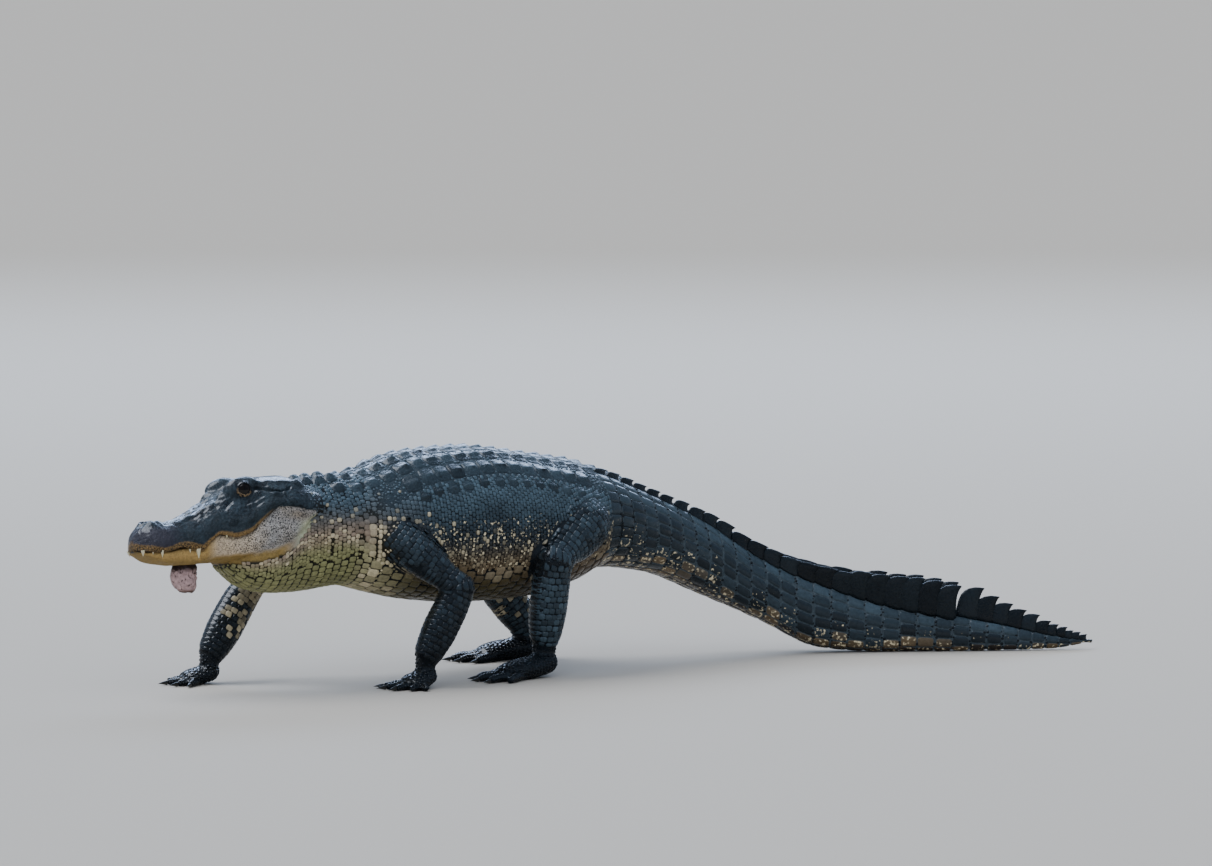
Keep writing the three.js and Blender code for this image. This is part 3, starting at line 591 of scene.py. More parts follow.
@dataclass(frozen=True)
class EyePlan:
    """Place and size of an eye and of the opening between its lids."""

    at: float = 0.117
    side: float = 0.049
    height: float = 0.373
    radius: float = 0.014
    lid_radius: float = 0.0164
    facing: Triple = (0.30, 0.93, 0.14)
    open_front: float = 0.0122
    open_rear: float = 0.0126
    open_up: float = 0.0108
    open_down: float = 0.0112

    def centre(self, side: Side) -> Array:
        """Middle of the eyeball, as at, side and height on the head."""
        return np.array([self.at, self.side * side.value, self.height])

    def axes(self, side: Side) -> tuple[Array, Array, Array]:
        """Directions out of the eye, towards its front corner and up."""
        out = unit(np.array(self.facing) * np.array([1.0, side.value, 1.0]))
        front = unit(np.array([1.0, 0.0, 0.0]) - out * out[0])
        up = np.cross(out, front)
        return out, front, up * np.sign(up[2])

    def edge(self, turn: Array) -> Array:
        """Angle from the eye's axis to the edge of the lids, at a turn from the front corner."""
        long = np.where(np.cos(turn) > 0, self.open_front, self.open_rear)
        tall = np.where(np.sin(turn) > 0, self.open_up, self.open_down)
        reach = 1 / np.hypot(np.cos(turn) / long, np.sin(turn) / tall)
        return np.arcsin(reach / self.lid_radius)


EYE = EyePlan()


def hip_origin() -> Array:
    """Place of the hip's plan origin in the row frame, found from the left eye's solid."""
    low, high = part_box("eye_left")
    middle = (np.array(low) + np.array(high)) / 2
    found = middle - head_place(EYE.at, -EYE.side, EYE.height)
    return np.array([found[0], found[1], 0.0])


HIP = hip_origin()


def tube_surface(
    name: str, stations: Sequence[tuple[Array, float, float]], front: Array, step: float = 0.004,
    columns: int = 49,
) -> Surface:
    """A sheet round a bent limb or digit.

    Args:
        name: Name of the sheet.
        stations: Centre, half depth towards the front and half thickness across it.
        front: Direction of the front line, made square to the limb.
        step: Distance between rows.
        columns: Points round the limb.

    Returns:
        The sheet.
    """
    centres = np.array([row[0] for row in stations], float)
    steps = np.linalg.norm(np.diff(centres, axis=0), axis=1)
    places = np.concatenate([[0.0], np.cumsum(steps)])
    path = [smooth_curve(places, centres[:, k]) for k in range(3)]
    deep = smooth_curve(places, np.array([row[1] for row in stations]))
    thick = smooth_curve(places, np.array([row[2] for row in stations]))
    along = np.linspace(0.0, places[-1], max(int(places[-1] / step), 4) + 1)
    middle = np.stack([curve(along) for curve in path], axis=1)
    direction = unit(np.gradient(middle, axis=0))
    first = unit(front - direction * (direction @ front)[:, None])
    second = np.cross(direction, first)
    angle = np.linspace(-math.pi, math.pi, columns)
    rings = (
        middle[:, None]
        + first[:, None] * (deep(along)[:, None] * np.cos(angle))[..., None]
        + second[:, None] * (thick(along)[:, None] * np.sin(angle))[..., None]
    )
    girth = math.pi * (deep(along) + thick(along)) / 2
    return Surface(name, rings + HIP, along, girth)


@dataclass(frozen=True)
class Shape:
    """One scale, as points in shares of its length, width and height, and its faces."""

    points: Array
    faces: tuple[tuple[int, ...], ...]

    def loops(self, flip: bool) -> tuple[Array, Array]:
        """The faces, turned round or not, as vertex numbers and where each face starts."""
        return flat_faces([face[::-1] if flip else face for face in self.faces])


def spire(sides: int, square: float, levels: Sequence[Sequence[float]], peak: float) -> Shape:
    """A closed scale built of level outlines, one above the other.

    Args:
        sides: Points round each outline.
        square: Exponent of the outline: 2 is an ellipse and 5 is nearly a rectangle.
        levels: Length, width, height and backward shift of each outline, as shares.
        peak: Height of the tip.

    Returns:
        The scale, with a closed underside.
    """
    angle = 2 * math.pi * (np.arange(sides) + 0.5) / sides
    a = 0.5 * rounded(np.cos(angle), 2 / square)
    b = 0.5 * rounded(np.sin(angle), 2 / square)
    rings = [
        np.column_stack([a * long + shift, b * wide, np.full(sides, height)])
        for long, wide, height, shift in levels
    ]
    tip = np.array([[levels[-1][3] + (levels[-1][3] - levels[-2][3]) / 2, 0.0, peak]])
    last = (len(levels) - 1) * sides
    faces = [tuple(range(sides))[::-1], *tube_quads(len(levels), sides)]
    faces += [(last + i, last + (i + 1) % sides, last + sides) for i in range(sides)]
    return Shape(np.concatenate([*rings, tip]), tuple(faces))


def dome(sides: int, square: float, rings: Sequence[tuple[float, float]], peak: float) -> Shape:
    """A low rounded scale, from the size and height of each ring inside its sunk edge."""
    levels = [(1.0, 1.0, -1.0, 0.0), *((size, size, height, 0.0) for size, height in rings)]
    return spire(sides, square, levels, peak)


def plate_shape(rows: int, height: Callable[[Array, Array], Array]) -> Shape:
    """A large plate as a fine grid whose height follows a formula.

    Args:
        rows: Rows and columns of the grid.
        height: Height in shares from the shares along and across, each from -0.5 to 0.5.

    Returns:
        The plate, with a closed underside.
    """
    line = np.linspace(-1.0, 1.0, rows)
    a, b = np.meshgrid(line, line, indexing="ij")
    a, b = a * np.sqrt(1 - 0.32 * b * b), b * np.sqrt(1 - 0.32 * a * a)
    a, b = 0.5 * a, 0.5 * b
    c = height(a, b)
    edge = np.zeros((rows, rows), bool)
    edge[[0, -1]] = edge[:, [0, -1]] = True
    c[edge] = -1.0
    points = np.stack([a, b, c], axis=-1).reshape(-1, 3)
    number = np.arange(rows * rows).reshape(rows, rows)
    faces: list[tuple[int, ...]] = []
    for i in range(rows - 1):
        for j in range(rows - 1):
            corner = (number[i, j], number[i + 1, j], number[i + 1, j + 1], number[i, j + 1])
            faces.append(tuple(int(n) for n in corner))
    ring = [*number[0, :-1], *number[:-1, -1], *number[-1, :0:-1], *number[:0:-1, 0]]
    faces.append(tuple(int(n) for n in ring))
    return Shape(points, tuple(faces))


def keel_height(a: Array, b: Array) -> Array:
    """Height of a keeled plate: a low dome under a ridge that peaks behind the middle."""
    base = 0.34 * (1 - (2 * np.abs(a)) ** 3) * (1 - (2 * np.abs(b)) ** 2.4)
    rise = np.clip((a + 0.46) / 0.68, 0, 1) ** 0.8
    return base + 0.72 * rise * fall(a, 0.24, 0.47) * np.exp(-((b / 0.13) ** 2))


def knob_height(a: Array, b: Array) -> Array:
    """Height of a blunt nape plate: a round knob that leans back."""
    base = 0.25 * (1 - (2 * np.abs(a)) ** 3) * (1 - (2 * np.abs(b)) ** 3)
    return base + 0.78 * np.exp(-(((a - 0.04) / 0.32) ** 4) - ((b / 0.27) ** 2))


def wedge(shape: Shape, front: float, rear: float) -> Shape:
    """A shape made thinner at its front and thicker at its rear, so that it overlaps the next."""
    share = np.clip(shape.points[:, :1] + 0.5, 0, 1)
    factor = front + (rear - front) * share
    return Shape(shape.points * np.concatenate([factor**0, factor, factor**0], 1), shape.faces)


BEAD = dome(8, 2.8, ((0.90, 0.55), (0.55, 0.95)), 1.0)
ROUND_TILE = dome(12, 2.6, ((0.94, 0.42), (0.74, 0.85)), 1.0)
PEBBLE = dome(7, 2.2, ((0.72, 0.8),), 1.0)
TILE = dome(12, 4.2, ((0.95, 0.35), (0.84, 0.78), (0.5, 0.97)), 1.0)
SCUTE = dome(12, 5.0, ((0.96, 0.3), (0.86, 0.72), (0.45, 0.95)), 1.12)
PLATELET = dome(8, 4.0, ((0.93, 0.55), (0.62, 0.93)), 1.0)
KEELED = plate_shape(13, keel_height)
KNOB = plate_shape(11, knob_height)
# Outlines of a leaf of the tail's crest: length, width, height and backward shift.
LEAF_LEVELS = (
    (1.0, 1.0, -1.0, 0.0), (0.965, 0.80, 0.12, 0.00), (0.925, 0.60, 0.30, 0.00),
    (0.87, 0.44, 0.50, 0.015), (0.805, 0.32, 0.68, 0.06), (0.725, 0.23, 0.81, 0.14),
    (0.60, 0.15, 0.91, 0.25), (0.40, 0.09, 0.975, 0.40), (0.20, 0.05, 0.998, 0.50),
)
CREST_LEAF = wedge(spire(12, 2.0, LEAF_LEVELS, 1.0), 0.55, 1.45)


class SkinProbe:
    """Finds the finished skin under a scale, and keeps what room the scales have taken."""

    def __init__(self, skin: Item, head: "Head") -> None:
        """Reads the finished skin, and the head that stays free of scales."""
        self.tree = BVHTree.FromObject(skin, bpy.context.evaluated_depsgraph_get())
        self.head = head
        self.roots: list[Array] = []
        self.sizes: list[Array] = []

    def on_head(self, points: Array) -> Array:
        """Whether places lie on the smooth skin of head and jaws."""
        at, _, height = head_axes(points)
        edge = 0.002 + 0.004 * smoothstep(at, 0.02, 0.06)
        back = -0.004 + 0.009 * smoothstep(height, 0.335, 0.360)
        return (at > back) & (height > self.head.curve["jaw"](at) - edge)

    def settle(self, points: Array, normals: Array, limit: float) -> tuple[Array, Array]:
        """Moves roots onto the skin.

        Args:
            points: Roots on a sheet.
            normals: The sheet's normals there.
            limit: How far the skin may be from the sheet.

        Returns:
            The shift of each root, and whether it is near enough to be kept.
        """
        shift = np.zeros_like(points)
        kept = np.zeros(len(points), bool)
        for i, (point, normal) in enumerate(zip(points, normals)):
            found, facing, _, distance = self.tree.find_nearest(Vector(point))
            if distance < limit and facing.dot(Vector(normal)) > 0.45:
                kept[i] = True
                shift[i] = np.array(found) - point
        return shift, kept & ~self.on_head(points + shift)

    def free(self, points: Array, sizes: Array, share: float) -> Array:
        """Whether each new root is clear of the roots laid before.

        Args:
            points: The new roots.
            sizes: Their mean sizes.
            share: Share of the two sizes' mean that their distance has to reach.

        Returns:
            A truth value for each root.
        """
        if not self.roots:
            return np.ones(len(points), bool)
        old_sizes = np.concatenate(self.sizes)
        tree = point_tree(np.concatenate(self.roots))
        reach = float(old_sizes.max() + sizes.max()) / 2 * share
        kept = np.ones(len(points), bool)
        for i, point in enumerate(points):
            for _, number, distance in tree.find_range(Vector(point), reach):
                if distance < share * (sizes[i] + old_sizes[number]) / 2:
                    kept[i] = False
                    break
        return kept

    def take(self, points: Array, sizes: Array) -> None:
        """Notes the room that new roots take."""
        self.roots.append(points)
        self.sizes.append(sizes)


class Coat:
    """One piece of the coat: many scales or plates as a single mesh with its own map."""

    PATCH = 0.003
    MARGIN = 0.01

    def __init__(
        self, name: str, probe: SkinProbe, surfaces: Sequence[Surface], rim: Tone = Tone.SEAM,
        rim_share: float = 0.8,
    ) -> None:
        """Starts an empty piece over the sheets that its scales root in."""
        self.name = name
        self.rim = tone(rim)
        self.rim_share = rim_share
        self.probe = probe
        self.bands = {item.name: i for i, item in enumerate(surfaces)}
        self.points: list[Array] = []
        self.loops: list[Array] = []
        self.starts: list[Array] = []
        self.tints: list[Array] = []
        self.spots: list[Array] = []
        self.vertex_count = 0
        self.loop_count = 0

    def unwrap(self, surface: Surface, u: Array, turn: Array) -> Array:
        """Places of roots on the unwrapped skin: along it one way and round it the other."""
        room = 1 - 2 * self.MARGIN
        across = (((turn + 1) % 2) / 2 * 0.98 + self.bands[surface.name]) / len(self.bands)
        return self.MARGIN + room * np.stack([u / surface.length, across], axis=1)

    def add(self, shape: Shape, points: Array, flip: bool, tint: Array, spots: Array) -> None:
        """Adds copies of a shape whose points are already in place.

        Args:
            shape: The scale's shape.
            points: Points of every copy, as copies by points by three.
            flip: Whether the faces are turned round.
            tint: Colour and accent share of each copy.
            spots: Place of each copy's root on the map.
        """
        count, size = points.shape[:2]
        if not count:
            return
        points[..., 2] = np.maximum(points[..., 2], FLOOR_CLEAR)
        loops, starts = shape.loops(flip)
        offsets = self.vertex_count + size * np.arange(count)[:, None]
        self.loops.append((loops[None] + offsets).ravel())
        places = self.loop_count + len(loops) * np.arange(count)[:, None]
        self.starts.append((starts[None] + places).ravel())
        self.points.append(points.reshape(-1, 3))
        low = self.rim_share * np.clip(1 - shape.points[:, 2] / 0.62, 0, 1)[None, :, None]
        rim = np.array([*self.rim, 0.0])
        self.tints.append((tint[:, None] * (1 - low) + rim * low).reshape(-1, 4))
        patch = spots[:, None] + self.PATCH * shape.points[None, :, :2]
        self.spots.append(patch.reshape(-1, 2))
        self.vertex_count += count * size
        self.loop_count += count * len(loops)

    def lay(
        self, shape: Shape, surface: Surface, u: Array, turn: Array, length: Array, width: Array,
        height: Array, tint: Array, limit: float = 0.007, spacing: float = 0.0, tilt: float = 0.0,
        upright: float = 0.0,
    ) -> None:
        """Lays scales on a sheet so that each one bends with it.

        Args:
            shape: The scale's shape.
            surface: The sheet.
            u: Distance along of each root.
            turn: Turn round of each root.
            length: Length of each scale along the sheet.
            width: Width of each scale round it.
            height: Height of each scale.
            tint: Colour and accent share of each scale.
            limit: How far the skin may be from the sheet.
            spacing: Share of two sizes' mean kept from scales laid before, or 0 for none.
            tilt: How much the rear edge is lifted, as a share of the height.
            upright: How strongly the scale is turned to stand straight up.
        """
        length, width, height = (np.broadcast_to(v, len(u)) for v in (length, width, height))
        roots, normals = surface.sample(u, turn)
        shift, kept = self.probe.settle(roots, normals, limit)
        size = (length + width) / 2
        if not kept.any():
            return
        if spacing:
            kept &= self.probe.free(roots, size, spacing)
        u, turn, length, width, height = (v[kept] for v in (u, turn, length, width, height))
        a, b, c = shape.points.T
        way = u[:, None] + a * length[:, None]
        round_ = turn[:, None] + b * (width / surface.girth_at(u))[:, None]
        points, outward = surface.sample(way, round_)
        outward = unit(outward + upright * UP)
        lifted = np.where(c < 0, 0.0, c + tilt * np.clip(a + 0.2, 0, 1))
        rise = lifted * height[:, None] - np.where(c < 0, ROOT_DEPTH, 0.0)
        points = points + outward * rise[..., None] + shift[kept][:, None]
        spots = self.unwrap(surface, u, turn)
        self.add(shape, points, surface.handed > 0, tint[kept], spots)
        self.probe.take(roots[kept] + shift[kept], size[kept])

    def place(
        self, shape: Shape, surface: Surface, points: Array, along: Array, normals: Array, size: Array,
        tint: Array,
    ) -> None:
        """Places stiff scales at points of the skin itself.

        Args:
            shape: The scale's shape.
            surface: The sheet whose unwrap they share.
            points: Their roots.
            along: Direction of their length.
            normals: Outward directions.
            size: Length, width and height of each.
            tint: Colour and accent share of each scale.
        """
        across = unit(np.cross(normals, along))
        along = np.cross(across, normals)
        a, b, c = shape.points.T
        rise = np.where(c < 0, -ROOT_DEPTH, c * size[:, 2:3])
        made = (
            points[:, None]
            + along[:, None] * (a * size[:, 0:1])[..., None]
            + across[:, None] * (b * size[:, 1:2])[..., None]
            + normals[:, None] * rise[..., None]
        )
        self.add(shape, made, False, tint, self.unwrap(surface, *surface.locate(points)))
        self.probe.take(points, size[:, :2].mean(axis=1))

    def finish(self) -> Item:
        """Makes the piece from all that was laid."""
        loops = np.concatenate(self.loops)
        points, starts = np.concatenate(self.points), np.concatenate(self.starts)
        item = mesh_object(self.name, points, loops, starts)
        set_tint(item, np.concatenate(self.tints))
        set_map(item, np.concatenate(self.spots)[loops])
        return item


def add_node(
    tree: Tree, kind: str, settings: dict[str, object] | None = None,
    inputs: dict[str | int, object] | None = None,
) -> bpy.types.Node:
    """Adds a shader node with its settings, and its inputs as values or links.

    Args:
        tree: The node tree.
        kind: Blender's type name of the node.
        settings: Properties of the node.
        inputs: Input sockets by name or number, each a value or another node's output.

    Returns:
        The new node.
    """
    node = tree.nodes.new(kind)
    for name, value in (settings or {}).items():
        setattr(node, name, value)
    for name, value in (inputs or {}).items():
        if isinstance(value, bpy.types.NodeSocket):
            tree.links.new(value, node.inputs[name])
        else:
            node.inputs[name].default_value = value
    return node


def noise_node(tree: Tree, place: Socket, size: float, detail: float = 4.0, **more: float) -> Socket:
    """Noise with patches of a size in metres."""
    inputs = {"Vector": place, "Scale": 1 / size, "Detail": detail, **more}
    return add_node(tree, "ShaderNodeTexNoise", inputs=inputs).outputs["Fac"]


def remap(
    tree: Tree, value: Socket, low: float, high: float, start: float = 0.0, end: float = 1.0,
    kind: str = "LINEAR",
) -> Socket:
    """Maps a value so that low gives start and high gives end, and nothing beyond them."""
    inputs = {"Value": value, "From Min": low, "From Max": high, "To Min": start, "To Max": end}
    settings = {"interpolation_type": kind}
    return add_node(tree, "ShaderNodeMapRange", settings, inputs).outputs["Result"]


def bump_node(tree: Tree, height: Socket, depth: float, under: Socket | None = None) -> Socket:
    """Relief of a depth in metres, over another relief if one is given."""
    inputs = {"Height": height, "Distance": depth} | ({"Normal": under} if under else {})
    return add_node(tree, "ShaderNodeBump", inputs=inputs).outputs["Normal"]


def math_node(tree: Tree, operation: str, first: Socket, second: Socket) -> Socket:
    """The result of a calculation with two values."""
    settings = {"operation": operation}
    return add_node(tree, "ShaderNodeMath", settings, {0: first, 1: second}).outputs[0]


@dataclass(frozen=True)
class HideFinish:
    """Living hide, wet from wallowing: a waxy keratin skin with a thin film of water."""

    name: str
    accent: str
    accent_size: float
    accent_edge: float
    wrinkle_size: float
    wrinkle_depth: float
    rough_low: float
    rough_high: float
    coat: float
    pit_size: float = 0.0
    pit_depth: float = 0.0
    gloss: float = 0.3
    coat_rough: float = 0.2

    # How much rougher the dry pale scales are than the dark ones, the sizes of grime and of the
    # film of water, and the share of the film that is left on pale scales.
    DULLER = 0.28
    GRIME_SIZE = 0.006
    FILM_SIZE = 0.05
    PALE_FILM = 0.15

    def material(self) -> bpy.types.Material:
        """Builds the material: tint from the mesh, irregular accents, wrinkles and gloss."""
        made = bpy.data.materials.new(self.name)
        made.use_nodes = True
        tree = made.node_tree
        tree.nodes.clear()
        place = add_node(tree, "ShaderNodeTexCoord").outputs["Object"]
        tint = add_node(tree, "ShaderNodeVertexColor", {"layer_name": "Tint"})
        patch = noise_node(tree, place, self.accent_size)
        over = math_node(tree, "ADD", patch, tint.outputs["Alpha"])
        edge = self.accent_edge
        share = remap(tree, over, 1.0 - edge, 1.0 + edge, kind="SMOOTHSTEP")
        ends = {0: share, 6: tint.outputs["Color"], 7: linear(self.accent)}
        mixed = add_node(tree, "ShaderNodeMix", {"data_type": "RGBA"}, ends).outputs[2]
        grime = noise_node(tree, place, self.GRIME_SIZE, 5.0, Roughness=0.65)
        shade = remap(tree, grime, 0.3, 0.7, 0.72, 1.22)
        shaded = {0: mixed, "Scale": shade}
        colour = add_node(tree, "ShaderNodeVectorMath", {"operation": "SCALE"}, shaded)
        film = noise_node(tree, place, self.FILM_SIZE, 3.0)
        rough = remap(tree, film, 0.35, 0.65, self.rough_low, self.rough_high)
        light = add_node(tree, "ShaderNodeRGBToBW", inputs={"Color": mixed}).outputs[0]
        dull = remap(tree, light, 0.03, 0.20, end=self.DULLER)
        rough = math_node(tree, "ADD", rough, dull)
        wet = remap(tree, light, 0.02, 0.12, self.coat, self.PALE_FILM * self.coat)
        normal = add_node(tree, "ShaderNodeNewGeometry").outputs["Normal"]
        facing = add_node(tree, "ShaderNodeSeparateXYZ", inputs={0: normal})
        wet = math_node(tree, "MULTIPLY", wet, remap(tree, facing.outputs["Z"], -0.10, 0.30))
        wrinkle = noise_node(tree, place, self.wrinkle_size)
        bump = bump_node(tree, wrinkle, self.wrinkle_depth)
        if self.pit_size:
            cells = {"Vector": place, "Scale": 1 / self.pit_size}
            kind = {"feature": "DISTANCE_TO_EDGE"}
            pits = add_node(tree, "ShaderNodeTexVoronoi", kind, cells).outputs["Distance"]
            bump = bump_node(
                tree, remap(tree, pits, 0.0, 0.22, kind="SMOOTHSTEP"), self.pit_depth, bump
            )
        inputs = {
            "Base Color": colour.outputs[0], "Roughness": rough, "IOR": 1.5,
            "Specular IOR Level": self.gloss, "Coat Weight": wet, "Coat Roughness": self.coat_rough,
            "Coat IOR": 1.5, "Normal": bump,
        }
        surface = add_node(tree, "ShaderNodeBsdfPrincipled", inputs=inputs)
        shader = {"Surface": surface.outputs["BSDF"]}
        add_node(tree, "ShaderNodeOutputMaterial", inputs=shader)
        return made


@dataclass(frozen=True)
class PlainFinish:
    """A finish of one colour: tooth enamel, wet claw horn, the eye's cornea or the floor."""

    name: str
    colour: str
    roughness: float
    ior: float
    coat: float = 0.0
    grain_size: float = 0.0
    grain_depth: float = 0.0
    tinted: bool = False
    scatter: float = 0.0

    def material(self) -> bpy.types.Material:
        """Builds the material, with a fine grain where the finish has one."""
        made = bpy.data.materials.new(self.name)
        made.use_nodes = True
        tree = made.node_tree
        surface = tree.nodes["Principled BSDF"]
        values = {
            "Base Color": linear(self.colour), "Roughness": self.roughness, "IOR": self.ior,
            "Coat Weight": self.coat, "Coat Roughness": 0.04,
        }
        if self.scatter:
            values |= {"Subsurface Weight": self.scatter, "Subsurface Scale": 0.004}
        for name, value in values.items():
            surface.inputs[name].default_value = value
        if self.tinted:
            tint = add_node(tree, "ShaderNodeVertexColor", {"layer_name": "Tint"})
            tree.links.new(tint.outputs["Color"], surface.inputs["Base Color"])
        if self.grain_size:
            place = add_node(tree, "ShaderNodeTexCoord").outputs["Object"]
            bump = bump_node(tree, noise_node(tree, place, self.grain_size), self.grain_depth)
            tree.links.new(bump, surface.inputs["Normal"])
        return made


SKIN_FINISH = HideFinish(
    name="wet hide of the head and the folds between scales", accent=Tone.SPECK.value,
    accent_size=0.0021, accent_edge=0.09, wrinkle_size=0.0036, wrinkle_depth=0.0022, rough_low=0.24,
    rough_high=0.44, coat=0.8, pit_size=0.0038, pit_depth=0.0007, gloss=0.14, coat_rough=0.20,
)
SCALE_FINISH = HideFinish(
    name="wet keratin of the scales", accent=Tone.CREAM.value, accent_size=0.0065, accent_edge=0.05,
    wrinkle_size=0.0022, wrinkle_depth=0.0006, rough_low=0.18, rough_high=0.36, coat=0.9, gloss=0.16,
)
PLATE_FINISH = HideFinish(
    name="wet horn of the keeled plates", accent=Tone.BLUE_BLACK.value, accent_size=0.014,
    accent_edge=0.12, wrinkle_size=0.003, wrinkle_depth=0.0010, rough_low=0.20, rough_high=0.40,
    coat=0.6, pit_size=0.007, pit_depth=0.0005, gloss=0.16,
)
# Keratin claws, worn and wet: near black with a soft sheen.
CLAW_FINISH = PlainFinish("wet claw horn", "#16140f", 0.32, 1.54, 0.1, 0.004, 0.0004)
# Enamel, slightly yellow and wet.
TOOTH_FINISH = PlainFinish("tooth enamel", "#cfc4a0", 0.25, 1.6, 0.3, 0.003, 0.0002, False, 0.1)
# The cornea of a living eye: near black with a hard, wet shine.
EYE_FINISH = PlainFinish("wet cornea over a dark iris", "#0b0806", 0.04, 1.36, tinted=True)
# Soft flesh without scales, moist and slightly see-through.
FLESH_FINISH = HideFinish(
    name="moist bare flesh", accent="#2e1f20", accent_size=0.005, accent_edge=0.08, wrinkle_size=0.005,
    wrinkle_depth=0.0020, rough_low=0.3, rough_high=0.5, coat=0.2,
)
FLOOR_FINISH = PlainFinish("pale matt studio floor", "#b4ada2", 0.9, 1.3)


class Head:
    """The head's skin: skull, snout, brows, lids, lips and jowls, as rings along the head."""

    UPPER_STEPS = 140
    LOWER_STEPS = 56
    RINGS = 200
    NECK_REACH = 0.060
    LIP_OVERHANG = 0.005
    SLIT_DEPTH = 0.009
    LIP_GAP = 0.0012

    def __init__(self) -> None:
        """Fits a smooth curve to each size of the profile."""
        rows = np.array(list(HEAD_STATIONS.values()))
        self.first, self.last = rows[0, 0], rows[-1, 0]
        self.curve = {name: smooth_curve(rows[:, 0], rows[:, i]) for i, name in enumerate(HEAD_FIELDS)}
        self.grid = self._rings()
        self._raise_brows()
        self._open_lids()
        self._sculpt()

    @staticmethod
    def _arc(start: float, steps: int, half: float, middle: float, tall: float, square: float) -> Array:
        """Side and height along half a rounded-square outline, from a turn on."""
        angle = np.linspace(start, start + math.pi, steps + 1)
        out, up = rounded(np.cos(angle), 2 / square), rounded(np.sin(angle), 2 / square)
        return np.stack([half * out, middle + tall * up], axis=1)

    def _rings(self) -> Array:
        """Rings of the plain head, as at, side and height of every point."""
        share = np.linspace(0.0, 1.0, self.RINGS)
        start, end, gap = self.first - self.NECK_REACH, self.last, self.LIP_GAP
        rings = []
        for at in start + (end - start) * (1 - (1 - share) ** 1.3):
            hidden = np.clip((self.first - at) / self.NECK_REACH, 0, 1)
            half, top, mouth, jaw = (self.curve[name](at) for name in HEAD_FIELDS[1:])
            half, top, jaw = half - 0.02 * hidden, top - 0.016 * hidden, jaw + 0.004 * hidden
            over = min(self.LIP_OVERHANG, half * 0.3) * smoothstep(at, 0.010, 0.120)
            upper = self._arc(0.0, self.UPPER_STEPS, half, mouth + gap, top - mouth - gap, 2.35)
            low = half - over
            drop = gap + 0.0016 * smoothstep(at, 0.19, 0.22)
            under = mouth - drop
            lower = self._arc(math.pi, self.LOWER_STEPS, low, under, under - jaw, 3)
            slit = self.SLIT_DEPTH * smoothstep(at, 0.050, 0.072)
            inner = half - over / 2 - min(slit, half * 0.3)
            groove = np.array(
                [[half - 0.0020, mouth + 0.0004], [inner, mouth], [low - 0.0016, mouth - 0.5 * drop]]
            )
            left = groove * np.array([-1.0, 1.0])
            ring = np.concatenate([upper, left, lower, groove[::-1]])
            rings.append(np.column_stack([np.full(len(ring), at), ring]))
        return np.array(rings)

    def _soften(self, moved: Array, passes: int) -> None:
        """Moves the grid to new places, with the change blurred over its neighbours."""
        change = moved - self.grid
        for _ in range(passes):
            around = np.roll(change, 1, 1) + np.roll(change, -1, 1)
            after, before = (change[1:], change[-1:]), (change[:1], change[:-1])
            ends = np.concatenate(after) + np.concatenate(before)
            change = 0.5 * change + 0.125 * (around + ends)
        self.grid = self.grid + change

    def _swell(self, root: Array, centre: Array, radii: Array, blend: float, passes: int) -> None:
        """Raises the skin onto an ellipsoid wherever that lies outside it.

        Args:
            root: A point inside the head that the skin is seen from.
            centre: Middle of the ellipsoid.
            radii: Its half sizes.
            blend: How softly the two flow together.
            passes: How often the change is blurred.
        """
        ray = self.grid - root
        reach = np.linalg.norm(ray, axis=-1)
        way = ray / reach[..., None]
        start, step = (root - centre) / radii, way / radii
        a, b = (step * step).sum(-1), step @ start
        inside = b * b - a * (start @ start - 1)
        far = np.where(inside > 0, (np.sqrt(np.maximum(inside, 0)) - b) / a, 0.0)
        share = np.clip(0.5 + 0.5 * (far - reach) / blend, 0, 1)
        out = reach + (far - reach) * share + blend * share * (1 - share)
        self._soften(root + way * out[..., None], passes)

    def _raise_brows(self) -> None:
        """Pushes the skull out to the round brows over the eyes, and the lids round them."""
        for side in Side:
            mirror = np.array([1.0, side.value, 1.0])
            root = np.array([0.110, 0.018, 0.335]) * mirror
            centre = np.array([0.108, 0.0360, 0.3735]) * mirror
            self._swell(root, centre, np.array([0.041, 0.0215, 0.0245]), 0.007, 5)
            root = np.array([0.120, 0.014, 0.320]) * mirror
            foot = np.array([0.131, 0.0300, 0.3560]) * mirror
            self._swell(root, foot, np.array([0.0260, 0.0180, 0.0190]), 0.014, 14)
            root = np.array([0.115, 0.022, 0.350]) * mirror
            radii = np.full(3, EYE.lid_radius)
            self._swell(root, EYE.centre(side), radii, 0.003, 1)

    def _open_lids(self) -> None:
        """Sinks the skin behind the eyeball, inside the ring of the lids."""
        for side in Side:
            centre = EYE.centre(side)
            out, front, up = EYE.axes(side)
            reach = self.grid - centre
            distance = np.linalg.norm(reach, axis=-1) + 1e-9
            angle = np.arccos(np.clip(reach @ out / distance, -1, 1))
            edge = EYE.edge(np.arctan2(reach @ up, reach @ front))
            opened = fall(angle - edge, 0.10, 0.26)
            opened = opened * (distance < 0.026)
            sunk = distance * (1 - opened) + 0.0115 * opened
            self.grid = centre + reach / distance[..., None] * sunk[..., None]

    def _normals(self) -> Array:
        """Outward normals of the grid, in the head's own directions."""
        around = np.roll(self.grid, -1, 1) - np.roll(self.grid, 1, 1)
        normals = unit(np.cross(np.gradient(self.grid, axis=0), around))
        middle = self.grid.mean(axis=1, keepdims=True)
        return normals * np.sign(((self.grid - middle) * normals).sum())

